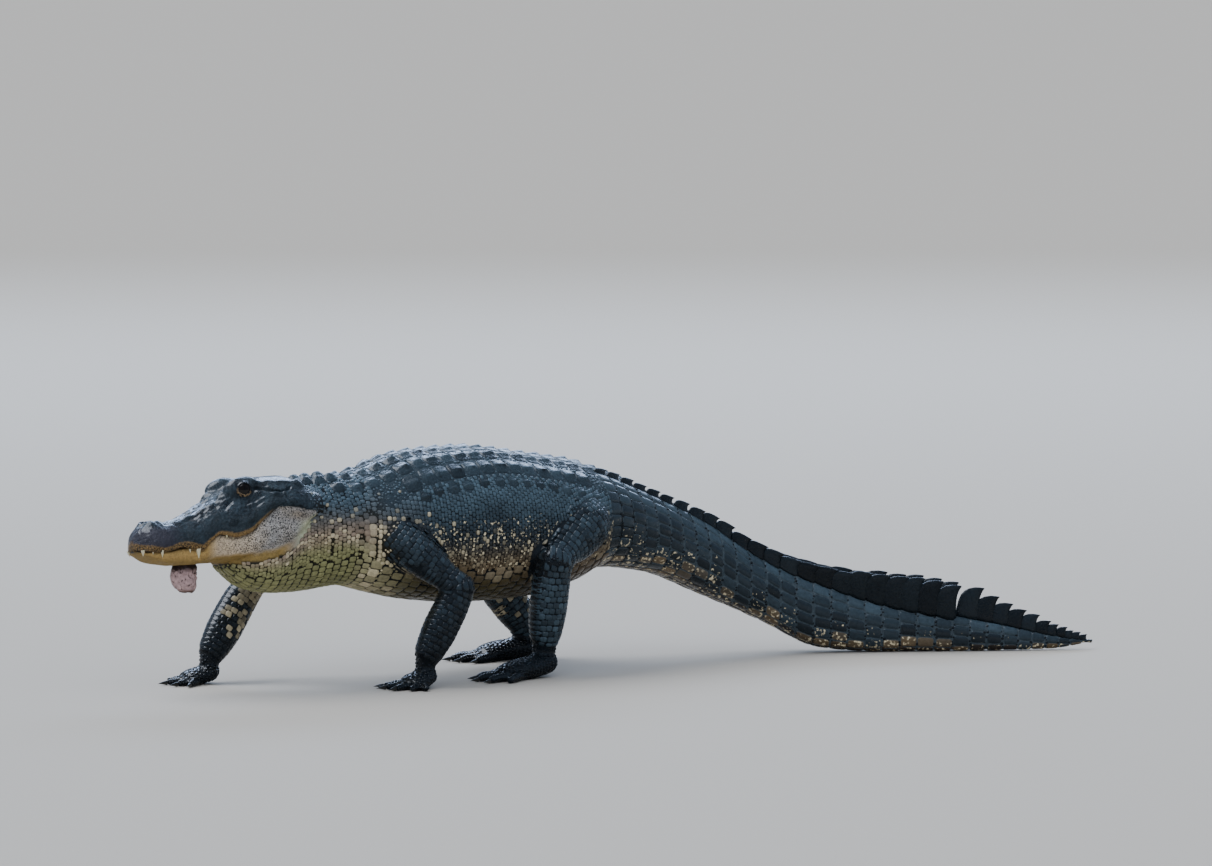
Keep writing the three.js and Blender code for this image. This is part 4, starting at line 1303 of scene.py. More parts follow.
    def _stroke(self, line: Sequence[Triple], radius: float) -> Array:
        """How strongly a stroke along a line touches each point, the same on both sides."""
        strength = np.zeros(self.grid.shape[:2])
        normals = self._normals()
        for sign in (-1, 1):
            points = np.array(line) * np.array([1.0, sign, 1.0])
            closest = np.full(self.grid.shape[:2], np.inf)
            for a, b in zip(points[:-1], points[1:]):
                way = b - a
                share = np.clip(((self.grid - a) @ way) / (way @ way + 1e-12), 0, 1)
                reach = self.grid - (a + share[..., None] * way)
                deep = (reach * normals).sum(-1, keepdims=True)
                reach = reach - 0.8 * deep * normals * (np.abs(deep) < 0.02)
                closest = np.minimum(closest, np.linalg.norm(reach, axis=-1))
            strength = np.maximum(strength, np.exp(-2 * (closest / radius) ** 2))
        return strength

    def _sculpt(self) -> None:
        """Raises and sinks the forms of the face along its normals."""
        for lift, radius, line in HEAD_STROKES:
            self.grid = self.grid + self._normals() * (lift * self._stroke(line, radius))[..., None]
        places = self.grid.reshape(-1, 3)
        rough = 0.6 * ripple(places, 0.013) + 0.4 * ripple(places, 0.0055)
        rough = rough.reshape(self.grid.shape[:2])
        at, _, height = np.moveaxis(self.grid, -1, 0)
        upper = smoothstep(height - self.curve["mouth"](at), 0.006, 0.020)
        eye = np.ones_like(at)
        for side in Side:
            gap = np.linalg.norm(self.grid - EYE.centre(side), axis=-1)
            eye *= smoothstep(gap, 0.019, 0.026)
        amount = (0.0004 + 0.0013 * upper) * eye * smoothstep(at, 0.0, 0.03)
        long = np.array([1 / 0.030, 1 / 0.008, 1 / 0.010])
        streak = ripple(places * long, 1.0).reshape(at.shape)
        snout = smoothstep(at, 0.13, 0.16) * fall(at, 0.26, 0.28)
        snout = snout * smoothstep(height - self.curve["top"](at), -0.020, -0.006)
        rise = rough * amount + 0.0022 * streak * snout
        self.grid = self.grid + self._normals() * rise[..., None]

    def form(self) -> Item:
        """The head as a closed mesh object in the row frame."""
        count, sides = self.grid.shape[:2]
        points = head_place(*np.moveaxis(self.grid, -1, 0)) + HIP
        flat = [*points.reshape(-1, 3), points[0].mean(axis=0), points[-1].mean(axis=0)]
        faces = [[a, d, c, b] for a, b, c, d in tube_quads(count, sides)]
        last = (count - 1) * sides
        for side in range(sides):
            after = (side + 1) % sides
            faces.append([side, after, count * sides])
            faces.append([last + after, last + side, count * sides + 1])
        item = form_object("head form", flat, faces)
        bpy.ops.object.mode_set(mode="EDIT")
        bpy.ops.mesh.select_all(action="SELECT")
        bpy.ops.mesh.normals_make_consistent(inside=False)
        bpy.ops.object.mode_set(mode="OBJECT")
        return item


# Forms of the face: how far each is raised, its radius, and its line of at, side and height.
HEAD_STROKES: tuple[tuple[float, float, tuple[Triple, ...]], ...] = (
    # Ridges from the brows down the snout, and the hollow between them.
    (0.0032, 0.010, ((0.150, 0.030, 0.366), (0.200, 0.029, 0.340), (0.250, 0.024, 0.322))),
    (-0.0026, 0.014, ((0.155, 0.0, 0.363), (0.255, 0.0, 0.322))),
    # Raised rims of the nostrils, then their openings.
    (0.0060, 0.016, ((0.284, 0.013, 0.320), (0.298, 0.015, 0.320))),
    (-0.0070, 0.0045, ((0.286, 0.010, 0.328), (0.294, 0.015, 0.328), (0.301, 0.012, 0.325))),
    (-0.0030, 0.0080, ((0.270, 0.0, 0.322), (0.310, 0.0, 0.318))),
    # Edge and rear corner of the skull table, then the ear's slit under it.
    (0.0042, 0.009, ((0.096, 0.052, 0.386), (0.050, 0.070, 0.384), (0.010, 0.076, 0.378))),
    (0.0062, 0.011, ((0.016, 0.070, 0.382), (0.002, 0.062, 0.384))),
    (-0.0020, 0.018, ((0.090, 0.0, 0.392), (0.060, 0.0, 0.394))),
    (
        -0.0065, 0.0034,
        (
            (0.095, 0.056, 0.373), (0.084, 0.064, 0.370), (0.070, 0.075, 0.366),
            (0.056, 0.083, 0.364), (0.044, 0.083, 0.367), (0.038, 0.081, 0.372),
        ),
    ),
    (0.0016, 0.0035, ((0.096, 0.063, 0.366), (0.074, 0.080, 0.361), (0.050, 0.087, 0.361))),
    # Jaw muscle and the round jowl behind the mouth.
    (0.0040, 0.035, ((0.060, 0.090, 0.290), (0.030, 0.096, 0.296))),
    (0.0030, 0.014, ((0.130, 0.073, 0.312), (0.085, 0.085, 0.342), (0.040, 0.094, 0.350))),
    (-0.0030, 0.006, ((0.068, 0.090, 0.339), (0.040, 0.096, 0.338), (0.014, 0.098, 0.328))),
    # Swellings of the upper lip over the large teeth.
    (0.0030, 0.013, ((0.218, 0.058, 0.280), (0.232, 0.055, 0.281))),
    (0.0026, 0.012, ((0.290, 0.048, 0.281), (0.302, 0.044, 0.281))),
    (0.0020, 0.010, ((0.150, 0.066, 0.296), (0.128, 0.071, 0.299))),
    (-0.0018, 0.008, ((0.255, 0.050, 0.288), (0.262, 0.048, 0.296))),
    # Furrows in front of the eye and under it.
    (-0.0024, 0.006, ((0.142, 0.048, 0.354), (0.160, 0.048, 0.336))),
    (-0.0018, 0.005, ((0.088, 0.070, 0.358), (0.108, 0.066, 0.348), (0.128, 0.063, 0.347))),
    (-0.0014, 0.004, ((0.092, 0.077, 0.349), (0.112, 0.072, 0.339), (0.132, 0.067, 0.340))),
)
# Marks on the left side of the lower jaw: place, radius and colour.
SCARS = (
    ((0.155, -0.062, 0.2445), 0.0055, Tone.SPECK), ((0.150, -0.062, 0.2470), 0.0040, Tone.SPECK),
    ((0.1385, -0.064, 0.2470), 0.0022, Tone.SCAR_PINK),
    ((0.1345, -0.065, 0.2495), 0.0020, Tone.SCAR_PINK), ((0.0965, -0.074, 0.2500), 0.0020, Tone.SPECK),
)
# Height of the ochre band along the upper lip: distance ahead, then height.
LIP_BAND = (
    (0.050, 0.0005), (0.080, 0.0045), (0.098, 0.0070), (0.124, 0.0090), (0.160, 0.0085),
    (0.187, 0.0065), (0.203, 0.0088), (0.235, 0.0120), (0.270, 0.0100), (0.290, 0.0075),
    (0.310, 0.0115), (0.326, 0.0130),
)


class Eye:
    """An eyeball and the lids that ring it."""

    LID_TURNS = 72
    # Angle past the lid's edge in degrees, and radius as a share of the lid's.
    LID_PROFILE = (
        (-3.0, 0.800), (0.0, 0.880), (0.6, 0.925), (2.2, 0.972), (4.5, 0.998), (7.0, 1.000),
        (9.5, 0.985), (12.0, 1.000), (16.0, 1.018), (20.0, 1.020), (24.0, 1.000), (28.0, 1.015),
        (34.0, 1.020), (42.0, 0.990), (50.0, 0.940), (58.0, 0.860),
    )
    # Radius of the iris, and half width and height of the pupil, as shares of the eyeball's.
    IRIS = 0.80
    PUPIL = (0.11, 0.62)

    def __init__(self, side: Side) -> None:
        """Keeps the side of the head that the eye is on."""
        self.side = side
        self.centre = head_place(*EYE.centre(side)) + HIP

    def axes(self) -> tuple[Array, Array, Array]:
        """Directions out of the eye, towards its front corner and up, in the row frame."""
        zero = head_place(*EYE.centre(self.side))
        ends = [head_place(*(EYE.centre(self.side) + axis)) - zero for axis in EYE.axes(self.side)]
        return tuple(unit(end) for end in ends)

    def ball(self) -> Item:
        """The eyeball, with a dark iris and an upright slit for its pupil."""
        out, front, up = self.axes()
        bpy.ops.object.select_all(action="DESELECT")
        bpy.ops.mesh.primitive_uv_sphere_add(segments=64, ring_count=40, radius=EYE.radius)
        item = bpy.context.object
        item.name = f"eyeball_{self.side.name.lower()}"
        turn = Matrix((front, up, np.cross(front, up))).transposed().to_4x4()
        item.matrix_world = Matrix.Translation(Vector(self.centre)) @ turn
        bpy.ops.object.transform_apply(location=True, rotation=True, scale=True)
        reach = (vertex_points(item) - self.centre) / EYE.radius
        x, y, facing = reach @ front, reach @ up, reach @ out
        slit = (np.hypot(x / self.PUPIL[0], y / self.PUPIL[1]) < 1) & (facing > 0)
        iris = (np.hypot(x, y) < self.IRIS) & (facing > 0)
        brown = np.where(iris[:, None], linear(Tone.IRIS.value), linear(Tone.EYE_RIM.value))
        brown[slit] = linear(Tone.PUPIL.value)
        set_tint(item, brown)
        return item

    def lids(self) -> Item:
        """The lids: a thick beaded edge and the folds behind it."""
        out, front, up = self.axes()
        turn = np.linspace(0, 2 * math.pi, self.LID_TURNS, endpoint=False)
        edge = EYE.edge(turn)
        beads = np.cos(turn * 22) * 0.016
        rows = []
        for number, (past, share) in enumerate(self.LID_PROFILE):
            beaded = beads if 3 <= number <= 5 else 0.0
            wavy = 0.012 * np.cos(5 * turn + number) if number > 7 else 0.0
            angle = edge + math.radians(past)
            reach = EYE.lid_radius * (share + beaded + wavy)
            rows.append(
                self.centre
                + (reach * np.cos(angle))[:, None] * out
                + (reach * np.sin(angle) * np.cos(turn))[:, None] * front
                + (reach * np.sin(angle) * np.sin(turn))[:, None] * up
            )
        points = np.array(rows)
        count, sides = points.shape[:2]
        faces = [[b, a, d, c] for a, b, c, d in tube_quads(count, sides)]
        last = (count - 1) * sides
        for i in range(sides):
            after = (i + 1) % sides
            faces.append([last + after, last + i, i, after])
        if self.side is Side.RIGHT:
            faces = [face[::-1] for face in faces]
        flat = points.reshape(-1, 3)
        loops, starts = flat_faces(faces)
        item = mesh_object(f"eyelids_{self.side.name.lower()}", flat, loops, starts)
        row, around = np.repeat(np.arange(count), sides), np.tile(turn, count)
        below = smoothstep(-np.sin(around) + 0.3 * np.cos(around), -0.1, 0.6)
        rim = np.where((row >= 2) & (row <= 7), 1.0, np.where(row <= 10, 0.45, 0.0))
        tan = np.clip(rim * below * smoothstep(mottle(flat, 0.0022), 0.42, 0.62), 0, 1)
        colour = mix(tone(Tone.BLUE_BLACK) * 1.1, Tone.LID_TAN, tan)
        colour[row <= 1] = tone(Tone.SPECK)
        set_tint(item, np.column_stack([colour, np.full(len(flat), 0.2)]))
        spots = np.stack([around / (2 * math.pi), row / count], axis=1)[loops]
        set_map(item, spots * 0.98 + 0.01)
        return item


@dataclass(frozen=True)
class HornPlan:
    """Sizes of a claw or tooth: a horn that tapers and bends towards its tip."""

    name: str
    length: float
    radius: float
    bend: float
    flat: float = 1.0
    steps: int = 8
    sides: int = 14
    taper: float = 1.5

    def model(self) -> Item:
        """Models the horn from the origin along +X, bending towards -Z."""
        bpy.ops.object.select_all(action="DESELECT")
        bpy.ops.mesh.primitive_circle_add(
            vertices=self.sides, radius=self.radius, fill_type="NGON", rotation=(0.0, math.pi / 2, 0.0)
        )
        item = bpy.context.object
        item.name = self.name
        bpy.ops.object.transform_apply(location=False, rotation=True, scale=False)
        bpy.ops.object.mode_set(mode="EDIT")
        bpy.ops.mesh.select_all(action="SELECT")
        size, place, angle = 1.0, Vector((0.0, 0.0, 0.0)), 0.0
        for step in range(1, self.steps + 1):
            angle = self.bend * step / self.steps
            move = Vector((math.cos(angle), 0.0, -math.sin(angle))) * self.length / self.steps
            place = place + move
            bpy.ops.mesh.extrude_region_move(TRANSFORM_OT_translate={"value": tuple(move)})
            goal = max(1 - (step / self.steps) ** self.taper, 0.07)
            share = goal / size
            bpy.ops.transform.resize(value=(share, share, share), center_override=tuple(place))
            bpy.ops.transform.rotate(
                value=self.bend / self.steps, orient_axis="Y", orient_type="GLOBAL",
                center_override=tuple(place),
            )
            size = goal
        bpy.ops.mesh.merge(type="CENTER")
        bpy.ops.mesh.select_all(action="SELECT")
        bpy.ops.mesh.normals_make_consistent(inside=False)
        bpy.ops.object.mode_set(mode="OBJECT")
        item.data.transform(Matrix.Diagonal((1.0, self.flat, 1.0, 1.0)))
        return item


def copy_to(pattern: Item, name: str, place: Array, ahead: Array, up: Array, size: float) -> Item:
    """Copies a modelled piece, with a mesh of its own, to a place and direction.

    Args:
        pattern: The piece at the origin, pointing along +X.
        name: Name of the copy.
        place: Where its origin goes.
        ahead: Direction of its +X.
        up: Direction near its +Z.
        size: Factor of its size.

    Returns:
        The copy, with its place in its mesh.
    """
    ahead = unit(ahead)
    across = unit(np.cross(up, ahead))
    turn = Matrix((ahead, across, np.cross(ahead, across))).transposed().to_4x4()
    item = bpy.data.objects.new(name, pattern.data.copy())
    item.data.transform(Matrix.Translation(Vector(place)) @ turn @ Matrix.Scale(size, 4))
    bpy.context.scene.collection.objects.link(item)
    return item


class Teeth:
    """Teeth that hang over the lower lip from the upper jaw."""

    # Distance ahead, length below the lip and width.
    LEFT_AND_RIGHT = (
        (0.3225, 0.0090, 0.0100), (0.309, 0.0060, 0.0050), (0.2935, 0.0115, 0.0085),
        (0.237, 0.0090, 0.0070), (0.222, 0.0170, 0.0120), (0.164, 0.0055, 0.0060),
        (0.1525, 0.0050, 0.0055),
    )
    # How far a tooth's root stands above the lip.
    ROOT = 0.0025

    def build(self, head: Head) -> Item:
        """Models one tooth and sets copies along both lips.

        Args:
            head: The head that they hang from.

        Returns:
            All teeth as one object.
        """
        pattern = HornPlan("tooth", 1.0, 0.30, 0.25, 0.85, taper=1.2).model()
        made = []
        for at, length, width in self.LEFT_AND_RIGHT:
            for side in Side:
                half, mouth = (float(head.curve[name](at)) for name in ("half", "mouth"))
                spot = np.array([at, side.value * (half - 0.0030), mouth + self.ROOT])
                down = np.array([-0.1 * length, side.value * 0.02 * length, -length - self.ROOT])
                start = head_place(*spot) + HIP
                ahead = head_place(*(spot + down)) + HIP - start
                outward = head_place(*(spot + np.array([0, side.value, 0]))) + HIP - start
                long = float(np.linalg.norm(ahead))
                tooth = copy_to(pattern, "tooth", start, ahead, outward, long)
                narrow_horn(tooth, start, ahead, width / (0.6 * long))
                made.append(tooth)
        bpy.data.objects.remove(pattern, do_unlink=True)
        select_only(*made)
        bpy.ops.object.join()
        made[0].name = "teeth_of_the_upper_jaw"
        return made[0]


def narrow_horn(item: Item, root: Array, ahead: Array, factor: float) -> None:
    """Makes a horn thicker or thinner about its own straight axis."""
    axis = unit(ahead)
    reach = vertex_points(item) - root
    along = (reach @ axis)[:, None] * axis
    move_vertices(item, root + along + (reach - along) * factor)


class Growth:
    """The fleshy growth that hangs under the chin."""

    # Plan place and height of its root, and its depth.
    PLACE = (-0.915, 0.030)
    TOP = 0.246
    DEPTH = 0.058
    # Height below the top, shift towards the tail, half length and half width.
    LOBES = (
        (0.000, 0.003, 0.0190, 0.0100), (0.006, 0.000, 0.0235, 0.0125), (0.013, -0.005, 0.0265, 0.0160),
        (0.023, -0.008, 0.0275, 0.0190), (0.033, -0.005, 0.0260, 0.0190),
        (0.042, 0.001, 0.0215, 0.0165), (0.0495, 0.007, 0.0140, 0.0115),
        (0.0555, 0.010, 0.0070, 0.0060), (0.0585, 0.011, 0.0026, 0.0022),
    )

    def build(self) -> Item:
        """Builds the growth with its upright folds and its darker stalk and tip."""
        stations = [
            (np.array([self.PLACE[0] + shift, self.PLACE[1], self.TOP - drop]), long, wide)
            for drop, shift, long, wide in self.LOBES
        ]
        sheet = tube_surface("growth", stations, np.array([1.0, 0.0, 0.0]), 0.0010, 97)
        rows, columns = sheet.points.shape[:2]
        angle = np.linspace(-math.pi, math.pi, columns)
        drop = np.linspace(0, 1, rows)[:, None]
        flat = sheet.points.reshape(-1, 3)
        soft, fine = (ripple(flat, size).reshape(rows, columns) for size in (0.012, 0.004))
        folds = np.abs(np.sin(3.5 * angle + 2.2 * soft + 1.5 * drop)) - 0.6
        rise = (0.0016 * folds + 0.0022 * soft + 0.0006 * fine) * np.sin(math.pi * drop) ** 0.5
        rise[:, -1] = rise[:, 0]
        sheet.points = sheet.points + sheet.normals * rise[..., None]
        points, faces = sheet.closed_mesh(1, 1)
        loops, starts = flat_faces(faces)
        item = mesh_object("growth_under_the_chin", points, loops, starts)
        down = (HIP[2] + self.TOP - points[:, 2]) / self.DEPTH
        cloud = mottle(points, 0.010)
        stalk = fall(down + 0.15 * (cloud - 0.5), 0.16, 0.34)
        colour = mix(mix(Tone.GROWTH_PINK, Tone.GROWTH_GREY, cloud), Tone.GROWTH_STALK, stalk)
        colour = mix(colour, Tone.GROWTH_TIP, smoothstep(down, 0.84, 0.98))
        set_tint(item, np.column_stack([colour, 0.39 + 0.10 * stalk]))
        x, y = (points[:, k] - points[:, k].mean() for k in (0, 1))
        spots = np.stack([np.arctan2(y, x) / (2 * math.pi) + 0.5, np.clip(down, 0, 1)], axis=1)
        set_map(item, 0.01 + 0.98 * spots[loops])
        return item


@dataclass(frozen=True)
class LimbSizes:
    """Sizes that both legs of a pair share."""

    # Half depth of the upper and of the lower length at root, middle and end.
    upper: Triple
    lower: Triple
    # Length, half width and half thickness of the palm or sole.
    pad: Triple
    # Spread in radians and length of each digit, from the inner one out.
    digits: tuple[tuple[float, float], ...]
    # Reach of the webs, as a share of the digits'.
    web: float


FORE = LimbSizes(
    upper=(0.046, 0.041, 0.031), lower=(0.036, 0.037, 0.032), pad=(0.046, 0.030, 0.015),
    digits=((-0.95, 0.038), (-0.48, 0.046), (-0.06, 0.050), (0.36, 0.044), (0.85, 0.034)), web=0.34,
)
HIND = LimbSizes(
    upper=(0.062, 0.055, 0.038), lower=(0.040, 0.040, 0.035), pad=(0.096, 0.033, 0.019),
    digits=((-0.42, 0.072), (-0.13, 0.088), (0.15, 0.092), (0.45, 0.076)), web=0.62,
)


@dataclass(frozen=True)
class LimbPlan:
    """A leg in its stride: its joints from the hip's plan origin, and the foot's heading."""

    name: str
    side: Side
    sizes: LimbSizes
    root: Triple
    bend: Triple
    end: Triple
    heading: float


LIMBS = (
    LimbPlan(
        "fore_left", Side.LEFT, FORE, (-0.540, -0.092, 0.292), (-0.432, -0.166, 0.182),
        (-0.505, -0.156, 0.052), -0.26,
    ),
    LimbPlan(
        "fore_right", Side.RIGHT, FORE, (-0.560, 0.092, 0.290), (-0.684, 0.163, 0.172),
        (-0.778, 0.152, 0.050), 0.3,
    ),
    LimbPlan(
        "hind_left", Side.LEFT, HIND, (-0.072, -0.088, 0.300), (-0.206, -0.158, 0.216),
        (-0.212, -0.138, 0.062), -0.12,
    ),
    LimbPlan(
        "hind_right", Side.RIGHT, HIND, (-0.042, 0.078, 0.300), (-0.118, 0.166, 0.168),
        (-0.034, 0.136, 0.054), 0.2,
    ),
)


class Limb:
    """One leg: its sheets for the scales, its closed forms for the skin, and its claws."""

    FLATNESS = 0.86
    DIGIT_THICK = 0.56
    TIP_SHARE = 0.76
    CLAWED = 3
    CLAW_GAP = 0.0003
    WEB_HEIGHT = 0.0062

    def __init__(self, plan: LimbPlan) -> None:
        """Works out the sheets of the leg, the pad and the digits."""
        self.plan = plan
        self.sizes = plan.sizes
        self.forward = np.array([-math.cos(plan.heading), math.sin(plan.heading), 0.0])
        turned = np.array([self.forward[1], -self.forward[0], 0.0])
        self.outward = turned * plan.side.value
        self.leg = self._leg()
        self.pad = self._pad()
        self.claws: list[tuple[Array, Array]] = []
        self.digits = [self._digit(i) for i in range(len(plan.sizes.digits))]
        self.webs = [self._web(i) for i in range(len(plan.sizes.digits) - 1)]

    def _leg(self) -> Surface:
        """Sheet of the leg from inside the trunk to the ankle."""
        root, bend, end = (np.array(p) for p in (self.plan.root, self.plan.bend, self.plan.end))
        inner = unit((root - bend) / 2 + (end - bend) / 2)
        upper, lower = self.sizes.upper, self.sizes.lower
        rows = (
            (root, upper[0] * 0.9), (root + 0.22 * (bend - root), upper[0]),
            (root + 0.52 * (bend - root), upper[1]), (root + 0.84 * (bend - root), upper[2]),
            (bend + 0.004 * inner, (upper[2] + lower[0]) / 2), (bend + 0.22 * (end - bend), lower[0]),
            (bend + 0.54 * (end - bend), lower[1]), (bend + 0.86 * (end - bend), lower[2]),
            (end, lower[2] * 0.80),
        )
        stations = [
            (centre, size - COAT_DEPTH, size * self.FLATNESS - COAT_DEPTH) for centre, size in rows
        ]
        return tube_surface(f"leg {self.plan.name}", stations, np.array([-1.0, 0.0, 0.0]))

    def spot(self, ahead: float, out: float, height: float) -> Array:
        """A place on the foot: ahead of the ankle, outward of it, and above the floor."""
        ankle = np.array([self.plan.end[0], self.plan.end[1], 0.0])
        place = ankle + ahead * self.forward + out * self.outward
        return np.array([place[0], place[1], height])

    def _pad(self) -> Surface:
        """Sheet of the palm or sole, with its heel."""
        length, half, thick = self.sizes.pad
        heel = self.plan.end[2] * 0.4
        level = thick - 0.0008
        rows = (
            (-1.3 * thick, heel + 0.006, 0.45 * thick, 0.45 * thick),
            (-0.9 * thick, heel + 0.005, 0.6 * half, 0.8 * thick),
            (-0.2 * thick, heel + 0.003, 0.86 * half, thick + 0.003),
            (0.3 * length, level + 0.003, 0.92 * half, thick + 0.002),
            (0.75 * length, level, half, thick),
            (1.0 * length, level - 0.002, 0.85 * half, 0.8 * thick),
            (1.15 * length, level - 0.004, 0.55 * half, 0.5 * thick),
        )
        stations = [
            (self.spot(ahead, 0.0, height), tall - 0.001, wide - 0.001)
            for ahead, height, wide, tall in rows
        ]
        return tube_surface(f"pad {self.plan.name}", stations, UP)

    def _ray(self, spread: float) -> tuple[Array, Array]:
        """Where a digit or web starts on the pad, and the direction that it points in."""
        length, half, _ = self.sizes.pad
        away = math.cos(spread) * self.forward + math.sin(spread) * self.outward
        return self.spot(0.72 * length, 0.78 * half * math.sin(spread) * 1.25, 0.0), away

    def _digit(self, number: int) -> Surface:
        """Sheet of one digit, with knuckles; a clawed one also notes where its claw sits."""
        spread, reach = self.sizes.digits[number]
        base, away = self._ray(spread)
        thick = self.sizes.pad[2] * self.DIGIT_THICK
        tip = thick * self.TIP_SHARE
        stations = []
        for share, size in (
            (-0.35, thick), (0.1, thick * 1.02), (0.34, thick * 0.92), (0.46, thick * 1.02),
            (0.64, tip * 1.02), (0.76, tip * 1.08), (0.92, tip * 0.94), (1.0, tip * 0.72),
        ):
            centre = base + share * reach * away
            centre[2] = max(size - 0.0006, 0.004)
            stations.append((centre, size - 0.0006, size - 0.0006))
        if number < self.CLAWED:
            self.claws.append((base + (reach + self.CLAW_GAP) * away + HIP, away))
        name = f"digit {self.plan.name} {number + 1}"
        return tube_surface(name, stations, UP, 0.003, 25)

    def _web(self, number: int) -> Surface:
        """Sheet of the web between two neighbouring digits."""
        (first, one), (second, other) = self.sizes.digits[number : number + 2]
        base, away = self._ray((first + second) / 2)

        stations = []
        for way in (0.0, 0.5, 1.0):
            reach = way * self.sizes.web * min(one, other)
            centre = base + reach * away
            centre[2] = self.WEB_HEIGHT
            wide = 0.004 + math.sin((second - first) / 2) * (0.02 + reach)
            stations.append((centre, 0.0034, wide * (1 - 0.35 * way)))
        name = f"web {self.plan.name} {number + 1}"
        return tube_surface(name, stations, UP, 0.006, 17)

    def forms(self) -> list[tuple[Array, list[list[int]]]]:
        """Closed forms of the leg, to be fused into the skin."""
        made = [self.leg.closed_mesh(2, 2), self.pad.closed_mesh(1, 2)]
        made += [item.closed_mesh(1, 1) for item in (*self.digits, *self.webs)]
        made.append(ball(np.array(self.plan.bend) + HIP, self.sizes.upper[2] * 0.92))
        ankle = np.array(self.plan.end) - np.array([0.0, 0.0, 0.004])
        made.append(ball(ankle + HIP, self.sizes.pad[2] * 1.25))
        return made


def ball(centre: Array, radius: float) -> tuple[Array, list[list[int]]]:
    """A closed round form that fills a joint.

    Args:
        centre: Its middle in the row frame.
        radius: Its radius.

    Returns:
        Its points and faces.
    """
    bpy.ops.object.select_all(action="DESELECT")
    place = tuple(float(v) for v in centre)
    bpy.ops.mesh.primitive_ico_sphere_add(subdivisions=3, radius=radius, location=place)
    item = bpy.context.object
    bpy.ops.object.transform_apply(location=True, rotation=False, scale=False)
    points = vertex_points(item)
    faces = [list(face.vertices) for face in item.data.polygons]
    bpy.data.objects.remove(item, do_unlink=True)
    return points, faces


class Skin:
    """The one skin under the coat, from the snout to the tip of the tail and all four feet."""

    # How far the smoothing reaches where a leg meets the trunk, and where it meets a foot.
    BLEND = 0.020
    FOOT_BLEND = 0.012

    def __init__(self, body: Surface, limbs: Sequence[Limb], head: Head) -> None:
        """Keeps the forms that the skin is fused from."""
        self.body = body
        self.limbs = limbs
        self.head = head

    def build(self) -> Item:
        """Fuses trunk, legs and head into one closed mesh without seams.

        Returns:
            The skin as an object.
        """
        forms = [self.body.closed_mesh(2, 1)]
        for limb in self.limbs:
            forms += limb.forms()
        points, faces, offset = [], [], 0
        for form_points, form_faces in forms:
            points.append(form_points)
            faces += [[n + offset for n in face] for face in form_faces]
            offset += len(form_points)
        skin = form_object("hide", np.concatenate(points), faces)
        skin.data.remesh_voxel_size = VOXEL
        skin.data.remesh_voxel_adaptivity = 0.0
        bpy.ops.object.voxel_remesh()
        apply_modifier(skin, "SMOOTH", factor=0.5, iterations=4)
        self._round_joints(skin)
        head = self.head.form()
        apply_modifier(skin, "BOOLEAN", operation="UNION", object=head, solver="MANIFOLD")
        bpy.data.objects.remove(head, do_unlink=True)
        points = vertex_points(skin)
        points[:, 2] = np.maximum(points[:, 2], FLOOR_CLEAR)
        move_vertices(skin, points)
        return skin

    def _round_joints(self, skin: Item) -> None:
        """Lets legs flow out of the trunk and into the feet, by smoothing where sheets meet."""
        legs, pads, trunk = (
            point_tree(np.concatenate([sheet.points.reshape(-1, 3) for sheet in sheets]))
            for sheets in (
                [limb.leg for limb in self.limbs], [limb.pad for limb in self.limbs], [self.body]
            )
        )
        for other, reach, passes in ((trunk, self.BLEND, 70), (pads, self.FOOT_BLEND, 24)):
            group = skin.vertex_groups.new(name="joints")
            for vertex in skin.data.vertices:
                gap = max(tree.find(vertex.co)[2] for tree in (other, legs))
                weight = math.exp(-((gap / reach) ** 2))
                if weight > 0.02:
                    group.add([vertex.index], weight, "REPLACE")
            apply_modifier(skin, "SMOOTH", factor=0.8, iterations=passes, vertex_group="joints")
            skin.vertex_groups.clear()


